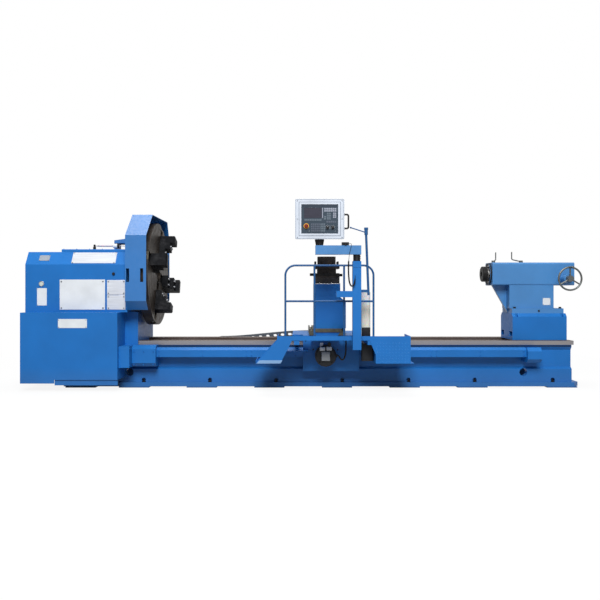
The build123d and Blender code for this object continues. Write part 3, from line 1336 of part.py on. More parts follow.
def panel_housing():
    """The control box: framed front, narrower back and the flared neck with its pin."""
    y = PENDANT_CENTRE[1]
    wide, tall = PANEL_SIZE
    face, back = PANEL_FACE, PANEL_FACE + PANEL_DEPTH
    frame = front_plate(PANEL_X, PANEL_Z, PANEL_SIZE, PANEL_ROUND, (face, face + PANEL_FRAME))
    body_size = (wide - 2 * PANEL_BODY_INSET, tall - 2 * PANEL_BODY_INSET)
    body = front_plate(PANEL_X, PANEL_Z, body_size, PANEL_ROUND, (face + PANEL_FRAME, back))
    recess_size = (FASCIA_SIZE[0] + 2 * SLIDE_GAP, FASCIA_SIZE[1] + 2 * SLIDE_GAP)
    recess = front_plate(PANEL_X, PANEL_Z, recess_size, SHEET, (face - 1, face + FASCIA_RECESS))
    neck_z = (ARM_Z[1] + SLIDE_GAP, PANEL_BOTTOM + PANEL_BODY_INSET)
    flare = Cone(PANEL_NECK[0], PANEL_NECK[1], neck_z[1] - neck_z[0])
    neck = Pos(PANEL_X, y, (neck_z[0] + neck_z[1]) / 2) * flare
    pin = rod_z((ARM_Z[1] - PANEL_PIN[1], neck_z[0]), PANEL_PIN[0], PANEL_X, y)
    wells = [control_hole(at, ESTOP_STEM[0] + ESTOP_TRAVEL) for at in (ESTOP_AT,) + KNOB_AT]
    return joined([frame, body, neck, pin]) - [recess] - wells


def control_hole(at, radius):
    """A round well behind one control of the panel."""
    y = (FASCIA_FACE - 1, FASCIA_FACE + FASCIA_THICK + PANEL_FRAME)
    return rod_y(y, radius, PANEL_X + at[0], PANEL_Z + at[1])


def panel_handle():
    """The bow handle on the panel's right side."""
    x = PANEL_X + PANEL_SIZE[0] / 2
    y = PANEL_FACE + PANEL_FRAME / 2
    z = PANEL_Z + HANDLE_RISE
    low, high = z - HANDLE_SPAN / 2, z + HANDLE_SPAN / 2
    reach = x + HANDLE_REACH
    points = [(x, y, low), (reach, y, low), (reach, y, high), (x, y, high)]
    return bent_tube(points, HANDLE_RADIUS, 2 * HANDLE_RADIUS)


def panel_fascia():
    """The keypad plate with the sunk screen and the holes for its controls."""
    back = FASCIA_FACE + FASCIA_THICK
    plate = front_plate(PANEL_X, PANEL_Z, FASCIA_SIZE, SHEET, (FASCIA_FACE, back))
    screen_y = (FASCIA_FACE - 1, FASCIA_FACE + SCREEN_DEPTH)
    screen = front_plate(PANEL_X + SCREEN_AT[0], PANEL_Z + SCREEN_AT[1], SCREEN_SIZE, SHEET, screen_y)
    stop_x, stop_z = PANEL_X + ESTOP_AT[0], PANEL_Z + ESTOP_AT[1]
    ring_front = FASCIA_FACE - ESTOP_RING[1]
    ring = rod_y((ring_front, FASCIA_FACE), ESTOP_RING[0], stop_x, stop_z)
    through = rod_y((ring_front - 1, FASCIA_FACE), ESTOP_STEM[0] + SLIDE_GAP, stop_x, stop_z)
    holes = [control_hole(ESTOP_AT, ESTOP_STEM[0] + SLIDE_GAP)]
    holes += [control_hole(at, KNOB_SHAFT[0] + RUN_GAP) for at in KNOB_AT]
    return joined([plate, ring]) - [screen, through] - holes


def emergency_button():
    """The mushroom button on its stem, with the stem's end collar behind the plate."""
    x, z = PANEL_X + ESTOP_AT[0], PANEL_Z + ESTOP_AT[1]
    front = FASCIA_FACE - ESTOP_RING[1] - ESTOP_STEM[1]
    stem = rod_y((front, FASCIA_FACE + FASCIA_THICK + ESTOP_TRAVEL), ESTOP_STEM[0], x, z)
    head = rod_y((front - ESTOP_HEAD[1], front), ESTOP_HEAD[0], x, z)
    head = fillet(head.edges().group_by(Axis.Y)[0], ESTOP_HEAD[1] / 3)
    return joined([stem, head])


def rotary_knob(at):
    """One override knob with its shaft."""
    x, z = PANEL_X + at[0], PANEL_Z + at[1]
    shaft = rod_y((FASCIA_FACE - SLIDE_GAP, FASCIA_FACE + KNOB_SHAFT[1]), KNOB_SHAFT[0], x, z)
    body = rod_y((FASCIA_FACE - SLIDE_GAP - KNOB_SIZE[1], FASCIA_FACE - SLIDE_GAP), KNOB_SIZE[0], x, z)
    body = chamfer(body.edges().group_by(Axis.Y)[0], KNOB_SIZE[1] / 8)
    return joined([body, shaft])


def pulse_unit():
    """The hand pulse unit on the arm, with its dial facing the operator."""
    x = PENDANT_CENTRE[0] + PULSE_OFFSET
    y = PENDANT_CENTRE[1]
    wide, deep, tall = PULSE_SIZE
    z = (ARM_Z[1], ARM_Z[1] + tall)
    case = block((x - wide / 2, x + wide / 2), (y - deep / 2, y + deep / 2), z)
    case = fillet(case.edges().filter_by(Axis.Z), wide / 10)
    dial = rod_y((y - deep / 2 - PULSE_KNOB[1], y - deep / 2), PULSE_KNOB[0], x, (z[0] + z[1]) / 2)
    return joined([case, dial])


def pulse_cord_route():
    """Points of the curly cord: off the pulse unit, a hanging loop, and into the column's face."""
    x, y = PENDANT_CENTRE
    start_x = x + PULSE_OFFSET + PULSE_SIZE[0] / 2
    face = y - PENDANT_TUBE / 2
    z = ARM_Z[1]
    return [
        (start_x + SLIDE_GAP, y - 16, z + 20),
        (start_x + 20, y - 16, z + 20),
        (start_x + 26, face - 10, z + 14),
        (start_x + 18, face - 19, z - 28),
        (start_x + 3, face - 19, z - 88),
        (start_x - 5, face - 20, z - 160),
        (start_x - 8, face - 22, z - 235),
        (start_x - 7, face - 25, z - 310),
        (start_x - 2, face - 28, z - 378),
        (start_x + 11, face - 30, z - 427),
        (start_x + 32, face - 31, z - 442),
        (start_x + 53, face - 30, z - 420),
        (start_x + 62, face - 28, z - 372),
        (start_x + 65, face - 25, z - 324),
        (start_x + 65, face - SLIDE_GAP, z - 324),
    ]


def servo_cable_route():
    """Points of the servo's cable: out of its side socket, a hanging loop, and up to the deck."""
    wide, deep, tall = X_SERVO_PLUG
    x = X_SCREW_X + X_SERVO_RADIUS + tall / 2
    y = -APRON_FRONT - BELT_BOX_DEPTH - X_SERVO_LENGTH + 1.5 * deep
    z = X_SERVO_Z
    climb = (DECK_UNDER - z) / 4
    return [
        (x + SLIDE_GAP, y, z),
        (x + 20, y, z),
        (x + 31, y, z - 30),
        (x + 52, y, z - 50),
        (x + 78, y, z - 36),
        (x + 92, y + 1, z + 6),
        (x + 97, y + 2, z + climb),
        (x + 99, y + 3, z + 2 * climb),
        (x + 99, y + 4, z + 3 * climb),
        (x + 98, y + 4, DECK_UNDER - SLIDE_GAP),
    ]


# Stand beside the pendant

def lamp_post():
    """The leaning post, its bracket from the column and the pivot pin."""
    x = CARRIAGE_X + LAMP_X
    y = PENDANT_CENTRE[1]
    deep, tall = LAMP_BRACKET
    low, top = LAMP_POST_Z
    post = tube_between((x + LAMP_LEAN, y, low), (x, y, top), LAMP_POST_RADIUS)
    bar_x = (PENDANT_CENTRE[0] + PENDANT_TUBE / 2, x + LAMP_LEAN)
    bar = block(bar_x, (y - deep / 2, y + deep / 2), (LAMP_BRACKET_Z - tall / 2, LAMP_BRACKET_Z + tall / 2))
    pin = rod_z((top - 2 * LAMP_POST_RADIUS, top + LAMP_PIN[1]), LAMP_PIN[0], x, y)
    reach = LAMP_PIN[1]
    flat = block((x - reach, x + reach), (y - reach, y + reach), (top, top + reach))
    return joined([joined([post, bar]) - flat, pin])


def lamp_arm():
    """The swinging rod: hub and knob on the pin, and a ball at the rod's end."""
    x = CARRIAGE_X + LAMP_X
    y = PENDANT_CENTRE[1]
    z0 = LAMP_POST_Z[1] + SLIDE_GAP
    z1 = z0 + LAMP_HUB[1]
    hub = rod_z((z0, z1), LAMP_HUB[0], x, y)
    knob = rod_z((z1, z1 + LAMP_KNOB[1]), LAMP_KNOB[0], x, y)
    bore = rod_z((z0 - 1, z0 + LAMP_PIN[1]), LAMP_PIN[0] + RUN_GAP, x, y)
    start = (x - LAMP_PIN[0] - 2, y, z0 + LAMP_HUB[1] / 2)
    end = (x + LAMP_ROD_END[0], y, z0 + LAMP_HUB[1] / 2 + LAMP_ROD_END[1])
    rod = tube_between(start, end, LAMP_ROD)
    return joined([hub, knob, rod, Pos(*end) * Sphere(LAMP_ROD_BALL)]) - bore


# Tailstock

def tailstock_base():
    """The base on the ways, with bolt pockets in its upper edge and a recess over each way at both ends."""
    d, c = TAIL_BASE_DEPTH, TAIL_BASE_CHAMFER
    z = (BED_TOP + SLIDE_GAP, TAIL_FLANGE_Z[0])
    outline = [(-d, z[0]), (-d, z[1] - c), (-d + c, z[1]), (d - c, z[1]), (d, z[1] - c), (d, z[0])]
    cuts = []
    wide, tall, deep = TAIL_POCKET
    for x in (TAIL_BASE[0] + TAIL_POCKET_INSET, TAIL_BASE[1] - TAIL_POCKET_INSET):
        for side in (-1, 1):
            y = sorted((side * (d - deep), side * (d + 1)))
            cuts.append(block((x - wide / 2, x + wide / 2), y, (z[1] - tall, z[1] + 1)))
    wide, tall, deep = TAIL_RECESS
    low = BED_TOP + TAIL_RECESS_AT[1]
    for x in ((TAIL_BASE[0] - 1, TAIL_BASE[0] + deep), (TAIL_BASE[1] - deep, TAIL_BASE[1] + 1)):
        for y in (-TAIL_RECESS_AT[0], TAIL_RECESS_AT[0]):
            cuts.append(block(x, (y - wide / 2, y + wide / 2), (low, low + tall)))
    return prism_x(outline, TAIL_BASE) - cuts


def tailstock_body():
    """The upper casting: flange, upright, gusset and the barrel with its front ring."""
    flange_x = (BARREL_X + TAIL_FLANGE_X[0], BARREL_X + TAIL_FLANGE_X[1])
    body_x = (BARREL_X + TAIL_BODY_X[0], BARREL_X + TAIL_BODY_X[1])
    barrel_x = (BARREL_X, BARREL_X + BARREL_LENGTH)
    low = AXIS_Z - BARREL_HALF_HEIGHT
    barrel = block(barrel_x, (-BARREL_HALF_DEPTH, BARREL_HALF_DEPTH), (low, BARREL_TOP))
    barrel = fillet(barrel.edges().filter_by(Axis.X), BARREL_ROUND)
    gusset = [
        (barrel_x[0] + BARREL_ROUND, low + BARREL_ROUND),
        (flange_x[0] + 1, low + BARREL_ROUND),
        (flange_x[0] + 1, TAIL_FLANGE_Z[0]),
    ]
    boss_y = (-BARREL_HALF_DEPTH - WHEEL_BOSS[1], 0)
    body = joined([
        block(flange_x, (-TAIL_FLANGE_DEPTH, TAIL_FLANGE_DEPTH), TAIL_FLANGE_Z),
        block(body_x, (-TAIL_BODY_DEPTH, TAIL_BODY_DEPTH), (TAIL_FLANGE_Z[1], low + BARREL_ROUND)),
        prism_y(gusset, (-TAIL_GUSSET_DEPTH, TAIL_GUSSET_DEPTH)),
        barrel,
        rod_x((BARREL_X - BARREL_RING[1], BARREL_X), BARREL_RING[0], 0, AXIS_Z),
        rod_y(boss_y, WHEEL_BOSS[0], WHEEL_X, WHEEL_Z),
    ])
    quill_end = CENTRE_DISTANCE + NOSE_DEPTH + QUILL_LENGTH + BARREL_BORE_SPARE
    bore = rod_x((BARREL_X - BARREL_RING[1] - 1, quill_end), QUILL_RADIUS + RUN_GAP, 0, AXIS_Z)
    shaft = rod_y((boss_y[0] - 1, -BARREL_HALF_DEPTH + SHEET), WHEEL_SHAFT[0] + RUN_GAP, WHEEL_X, WHEEL_Z)
    pin_z = (BARREL_TOP - LEVER_PIN[1] - SLIDE_GAP, BARREL_TOP + 1)
    pins = [rod_z(pin_z, LEVER_PIN[0] + RUN_GAP, BARREL_X + x, LEVER_Y) for x in LEVER_AT]
    return body - [bore, shaft] - pins


def quill():
    """The quill, with a socket for the live nose and a keyway along its underside."""
    nose_back = CENTRE_DISTANCE + NOSE_DEPTH
    x = (nose_back + SLIDE_GAP, nose_back + QUILL_LENGTH)
    bar = rod_x(x, QUILL_RADIUS, 0, AXIS_Z)
    socket_x = (x[0] - 1, nose_back + NOSE_SHANK[1] + SLIDE_GAP)
    socket = rod_x(socket_x, NOSE_SHANK[0] + RUN_GAP, 0, AXIS_Z)
    wide, deep = QUILL_KEY
    low = AXIS_Z - QUILL_RADIUS
    key = block((x[0] + 2 * wide, x[1] + 1), (-wide / 2, wide / 2), (low - 1, low + deep))
    return bar - [socket, key]


def live_nose():
    """The turning nose with its shank and centre socket."""
    x0 = CENTRE_DISTANCE
    disc = rod_x((x0, x0 + NOSE_DEPTH), NOSE_RADIUS_TAIL, 0, AXIS_Z)
    disc = chamfer(disc.edges().group_by(Axis.X)[0], QUILL_KEY[1] / 2)
    shank = rod_x((x0 + NOSE_DEPTH, x0 + NOSE_DEPTH + NOSE_SHANK[1]), NOSE_SHANK[0], 0, AXIS_Z)
    return joined([disc, shank]) - rod_x((x0 - 1, x0 + NOSE_SOCKET[1]), NOSE_SOCKET[0], 0, AXIS_Z)


def handwheel():
    """The three-spoke handwheel on its shaft."""
    ring = Pos(WHEEL_X, WHEEL_PLANE, WHEEL_Z) * Rot(90, 0, 0) * Torus(WHEEL_RADIUS, WHEEL_RIM)
    boss_end = -BARREL_HALF_DEPTH - WHEEL_BOSS[1] - SLIDE_GAP
    hub = rod_y((WHEEL_PLANE - WHEEL_HUB[1] / 2, boss_end), WHEEL_HUB[0], WHEEL_X, WHEEL_Z)
    shaft = rod_y((boss_end, boss_end + WHEEL_BOSS[1]), WHEEL_SHAFT[0], WHEEL_X, WHEEL_Z)
    spokes = []
    for i in range(3):
        angle = radians(-30 + 120 * i)
        end = (WHEEL_X + WHEEL_RADIUS * cos(angle), WHEEL_PLANE, WHEEL_Z + WHEEL_RADIUS * sin(angle))
        spokes.append(tube_between((WHEEL_X, WHEEL_PLANE, WHEEL_Z), end, WHEEL_SPOKE))
    return joined([ring, hub, shaft] + spokes)


def wheel_grip():
    """The crank grip at the top of the rim."""
    z = WHEEL_Z + WHEEL_RADIUS
    y = (WHEEL_PLANE - WHEEL_RIM - GRIP[1], WHEEL_PLANE - WHEEL_RIM)
    grip = rod_y(y, GRIP[0], WHEEL_X, z)
    return fillet(grip.edges().group_by(Axis.Y)[0], GRIP[0] / 2)


def clamp_lever(number):
    """One quill clamp lever: hub, pin and a rod that bends upright."""
    x, y = BARREL_X + LEVER_AT[number], LEVER_Y
    z0 = BARREL_TOP + SLIDE_GAP
    hub = rod_z((z0, z0 + LEVER_HUB[1]), LEVER_HUB[0], x, y)
    pin = rod_z((BARREL_TOP - LEVER_PIN[1], z0), LEVER_PIN[0], x, y)
    mid = z0 + LEVER_HUB[1] / 2
    path = [(x, y, mid), (x + LEVER_REACH, y, mid + LEVER_HUB[1]), (x + LEVER_REACH, y, mid + LEVER_RISE)]
    rod = bent_tube(path, LEVER_ROD, 3 * LEVER_ROD)
    turn = Pos(x, y, 0) * Rot(0, 0, LEVER_TURN[number]) * Pos(-x, -y, 0)
    return turn * joined([hub, pin, rod])


# Drag chain

def chain_link(x, z, tilt, pitch, odd):
    """One link: two side plates with a window, and two cross bars."""
    long = (pitch + CHAIN_HEIGHT / 2) / 2
    high = CHAIN_HEIGHT / 2
    cut = high / 2
    outer = [(-long, -cut), (-long + cut, -high), (long - cut, -high), (long, -cut),
             (long, cut), (long - cut, high), (-long + cut, high), (-long, cut)]
    wide, low = CHAIN_PITCH / 4, high / 2
    window = [(-wide, -low / 2), (-wide / 2, -low), (wide / 2, -low), (wide, -low / 2),
              (wide, low / 2), (wide / 2, low), (-wide / 2, low), (-wide, low / 2)]
    reach = CHAIN_WIDTH / 2 - (CHAIN_PLATE + SLIDE_GAP if odd else 0)
    pieces = []
    for side in (-1, 1):
        y = sorted((side * reach, side * (reach - CHAIN_PLATE)))
        pieces.append(prism_y(outer, y) - prism_y(window, (y[0] - 1, y[1] + 1)))
    bar = CHAIN_PLATE
    for level in (high - 2 * bar, -high + bar):
        pieces.append(block((-2 * bar, 2 * bar), (-reach + bar, reach - bar), (level, level + bar)))
    return Pos(x, CHAIN_Y, z) * Rot(0, -tilt, 0) * joined(pieces)


def strand(points, first):
    """Links between successive (X, Z) points, wide and narrow by turns."""
    links = []
    for number, (a, b) in enumerate(zip(points, points[1:]), first):
        tilt = degrees(atan2(b[1] - a[1], b[0] - a[0]))
        pitch = hypot(b[0] - a[0], b[1] - a[1])
        links.append(chain_link((a[0] + b[0]) / 2, (a[1] + b[1]) / 2, tilt, pitch, number % 2 == 1))
    return links


def bend_points(start, end):
    """Pitch points round the left bend, as turns from its lowest point."""
    steps = round(radians(end - start) * CHAIN_BEND / CHAIN_PITCH)
    points = []
    for i in range(1, steps + 1):
        angle = radians(start + (end - start) * i / steps)
        points.append((CHAIN_BEND_X - CHAIN_BEND * sin(angle), CHAIN_LOW_Z + CHAIN_BEND * (1 - cos(angle))))
    return points


def lower_chain():
    """The strand on the tray and the lower half of the bend."""
    count = round((CHAIN_ANCHOR_X - CHAIN_BEND_X) / CHAIN_PITCH)
    pitch = (CHAIN_ANCHOR_X - CHAIN_BEND_X) / count
    flat = [(CHAIN_ANCHOR_X - i * pitch, CHAIN_LOW_Z) for i in range(count + 1)]
    return strand(flat + bend_points(0, 90), 0)


def upper_chain():
    """The upper half of the bend and the strand up to the saddle's arm."""
    top = BED_TOP + CHAIN_END_RISE
    count = round((CHAIN_END_X - CHAIN_BEND_X) / CHAIN_PITCH)
    pitch = (CHAIN_END_X - CHAIN_BEND_X) / count
    rising = []
    for i in range(1, count + 1):
        share = i / count
        rise = share * share * (3 - 2 * share)
        rising.append((CHAIN_BEND_X + i * pitch, CHAIN_HIGH_Z + (top - CHAIN_HIGH_Z) * rise))
    turn = [(CHAIN_BEND_X - CHAIN_BEND, CHAIN_LOW_Z + CHAIN_BEND)]
    return strand(turn + bend_points(90, 180) + rising, 1)


def tray_trough():
    """The folded tray that the chain lies in."""
    top = CHAIN_LOW_Z - CHAIN_HEIGHT / 2
    half = CHAIN_WIDTH / 2
    wall = half + TRAY_SHEET
    outer = block(TRAY_X, (CHAIN_Y - wall, CHAIN_Y + wall), (top - TRAY_SHEET, top + TRAY_LIP))
    past = (TRAY_X[0] - 1, TRAY_X[1] + 1)
    return outer - block(past, (CHAIN_Y - half, CHAIN_Y + half), (top, top + TRAY_LIP + 1))


def tray_brackets():
    """The brackets from the plinth under the tray."""
    top = CHAIN_LOW_Z - CHAIN_HEIGHT / 2 - TRAY_SHEET
    reach = CHAIN_Y + CHAIN_WIDTH / 2
    outline = [(PLINTH_REACH, top), (reach, top), (PLINTH_REACH, FLANGE_TOP + BED_WALL)]
    first = TRAY_X[0] + TRAY_BRACKET_INSET
    pitch = (TRAY_X[1] - TRAY_BRACKET_INSET - first) / (TRAY_BRACKET_COUNT - 1)
    brackets = []
    for i in range(TRAY_BRACKET_COUNT):
        x = first + i * pitch
        brackets.append(prism_x(outline, (x, x + 2 * TRAY_SHEET)))
    return brackets


def main():
    """Build every piece and write it to its own file."""
    os.makedirs("parts", exist_ok=True)
    save("bed_casting", bed_casting())
    save("guideways", guideway(-1), guideway(1))
    save("levelling_pads", *levelling_pads())
    save("headstock_casting", gear_case(), headstock_neck())
    save("headstock_cover", headstock_cover())
    save("belt_guard", belt_guard())
    save("lower_cabinet", lower_cabinet())
    save("chuck_guard", guard_hood(), guard_back(), guard_stay())
    save("oil_pipe", oil_pipe())
    save("main_motor", main_motor(), motor_bracket())
    front_bearing_x = HEAD_X[1] - BEARING_WALL[0] + HEAD_WALL / 2
    rear_bearing_x = HEAD_X[0] + HEAD_WALL / 2
    save(
        "spindle_bearings",
        bearing(front_bearing_x, FRONT_BEARING, FRONT_JOURNAL),
        bearing(rear_bearing_x, REAR_BEARING, REAR_JOURNAL),
    )
    save("drive_belts", drive_belts())
    save("screw_cover", *[screw_cover(number) for number in range(COVER_COUNT)])
    save("screw_supports", gearbox(), servo_cover(), end_bracket())
    save("z_servo", z_servo())
    save("cable_tray", tray_trough(), *tray_brackets())
    save("chain_lower", *lower_chain())
    save("spindle", spindle())
    save("spindle_pulley", spindle_pulley())
    save("faceplate", faceplate())
    for number in range(JAW_COUNT):
        save(f"chuck_jaw_{number + 1}", chuck_jaw(number))
    save("motor_pulley", motor_pulley())
    save("saddle", saddle())
    save("apron", apron(), belt_box())
    save("platform_deck", platform_deck())
    save("deck_handrail", deck_handrail())
    save("deck_steps", left_step(), right_step())
    save("pendant_column", pendant_column(), pendant_shelf())
    save("lube_tank", *lube_tank())
    save("lube_pump", lube_pump())
    save("x_servo", x_servo())
    save("lamp_post", lamp_post())
    save("chain_upper", *upper_chain())
    save("servo_cable", cord(servo_cable_route(), SERVO_CABLE_RADIUS, "servo_cable"))
    save("ball_screw_z", ball_screw_z())
    save("ball_screw_x", ball_screw_x())
    save("cross_slide", cross_slide())
    save("tool_column", tool_column())
    save("turret_base", turret_base())
    save("turret_head", turret_head())
    save("turret_tools", *turret_tools())
    save("pendant_arm", pendant_arm())
    save("pulse_unit", pulse_unit())
    save("pulse_cord", cord(pulse_cord_route(), PULSE_CORD_RADIUS, "pulse_cord"))
    save("panel_housing", panel_housing(), panel_handle())
    save("panel_fascia", panel_fascia())
    save("emergency_button", emergency_button())
    save("feed_knob", rotary_knob(KNOB_AT[0]))
    save("speed_knob", rotary_knob(KNOB_AT[1]))
    save("lamp_arm", lamp_arm())
    save("tailstock_base", tailstock_base())
    save("tailstock_body", tailstock_body())
    save("quill", quill())
    save("live_nose", live_nose())
    save("handwheel", handwheel(), wheel_grip())
    save("clamp_lever_left", clamp_lever(0))
    save("clamp_lever_right", clamp_lever(1))
    print("shift", SHIFT)


main()
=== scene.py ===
import logging
import math
from dataclasses import dataclass
from enum import Enum
from typing import Sequence

import bmesh
import bpy
from mathutils import Matrix, Vector


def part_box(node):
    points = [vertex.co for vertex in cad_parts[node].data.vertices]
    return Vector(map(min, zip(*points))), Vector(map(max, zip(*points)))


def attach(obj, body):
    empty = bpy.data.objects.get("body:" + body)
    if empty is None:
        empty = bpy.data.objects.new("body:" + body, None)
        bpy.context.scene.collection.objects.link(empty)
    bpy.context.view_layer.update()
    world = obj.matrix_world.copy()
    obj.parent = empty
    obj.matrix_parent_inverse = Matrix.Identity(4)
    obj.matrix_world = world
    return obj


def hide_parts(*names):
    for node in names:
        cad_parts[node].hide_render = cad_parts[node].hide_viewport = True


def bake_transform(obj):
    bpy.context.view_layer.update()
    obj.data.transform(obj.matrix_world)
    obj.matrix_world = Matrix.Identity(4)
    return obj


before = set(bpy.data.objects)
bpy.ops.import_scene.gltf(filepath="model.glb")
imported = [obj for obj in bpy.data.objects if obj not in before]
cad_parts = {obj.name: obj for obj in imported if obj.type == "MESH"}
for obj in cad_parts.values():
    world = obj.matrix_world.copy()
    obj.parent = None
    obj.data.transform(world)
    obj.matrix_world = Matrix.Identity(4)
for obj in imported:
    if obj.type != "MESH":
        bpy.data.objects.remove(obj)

LOG = logging.getLogger("lathe")
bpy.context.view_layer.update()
Point = tuple[float, float, float]
Span = tuple[float, float]
Profile = tuple[Span, ...]
Pairs = tuple[Span, ...]
Tones = tuple[Span, Span]
Area = tuple[Span, Span]
Rgba = tuple[float, float, float, float]
Socket = bpy.types.NodeSocket


class Body(Enum):
    """The moving groups that the pieces made here ride on."""

    FRAME = "frame"
    SPINDLE = "spindle_group"
    CARRIAGE = "carriage"
    CROSS = "cross_group"
    PENDANT = "pendant_swing"
    PANEL = "panel"
    FEED_DIAL = "feed_dial"
    SPEED_DIAL = "speed_dial"
    TAIL = "tailstock"
    JAW_1 = "jaw_1"
    JAW_2 = "jaw_2"
    JAW_3 = "jaw_3"
    JAW_4 = "jaw_4"


class Slot(Enum):
    """The record's material slots."""

    PAINT = "blue_paint"
    GROUND = "ground_steel"
    IRON = "machined_iron"
    OXIDE = "black_oxide"
    ZINC = "zinc_plate"
    MOTOR = "motor_black"
    SILVER = "panel_silver"
    SLATE = "keypad_slate"
    TANK = "tank_white"
    PLASTIC = "black_plastic"
    RED = "stop_red"
    CORD = "cord_black"


class Head(Enum):
    """Kinds of screw head, with the number of sides that each is drawn with."""

    HEX = 6
    SOCKET = 16
    SQUARE = 4


@dataclass(frozen=True)
class Datum:
    """The foot of the spindle axis under the faceplate's face, in the shared frame."""

    x: float
    y: float

    @classmethod
    def from_faceplate(cls) -> "Datum":
        """Reads the datum from the faceplate's box."""
        low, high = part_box("faceplate")
        return cls(high[0], (low[1] + high[1]) / 2)

    def at(self, point: Sequence[float]) -> Vector:
        """A point counted from the faceplate, the spindle axis and the floor, in the shared frame."""
        return Vector((self.x + point[0], self.y + point[1], point[2]))


DATUM = Datum.from_faceplate()
# Height of the spindle axis above the floor, and how far the front way's edge lies before it.
AXIS_HEIGHT = 1.350
FRONT_WAY_EDGE = 0.378
ORIGIN: Point = (0.0, 0.0, 0.0)
FACING_FRONT: Point = (0.0, -1.0, 0.0)
FACING_BACK: Point = (0.0, 1.0, 0.0)
FACING_LEFT: Point = (-1.0, 0.0, 0.0)
FACING_RIGHT: Point = (1.0, 0.0, 0.0)
FACING_UP: Point = (0.0, 0.0, 1.0)
# Turns a flat shape's face from +Z to the front.
UPRIGHT = Matrix.Rotation(math.radians(90), 4, "X")
# Where most of a noise pattern's values lie.
NOISE_SPAN: Span = (0.3, 0.7)


def srgb(red: float, green: float, blue: float) -> Rgba:
    """A colour given as screen values from 0 to 255.

    Args:
        red: Red on the screen.
        green: Green on the screen.
        blue: Blue on the screen.

    Returns:
        The same colour as linear red, green, blue and alpha.
    """
    def linear(value: float) -> float:
        """One channel made linear."""
        share = value / 255
        return share / 12.92 if share <= 0.04045 else ((share + 0.055) / 1.055) ** 2.4

    return (linear(red), linear(green), linear(blue), 1.0)


def toned(color: Rgba, factor: float) -> Rgba:
    """A colour made lighter or darker by a factor."""
    return tuple(min(1.0, part * factor) for part in color[:3]) + (1.0,)


def spread(middle: float, reach: Span) -> Span:
    """The range about a middle, from its lower to its upper reach."""
    return (middle + reach[0], middle + reach[1])


def fill(node: bpy.types.Node, **values: float | Sequence[float]) -> bpy.types.Node:
    """Sets a node's inputs to constants.

    Args:
        node: The node.
        values: The constants, by the inputs' names with underscores for spaces.

    Returns:
        The same node.
    """
    for name, value in values.items():
        node.inputs[name.replace("_", " ")].default_value = value
    return node


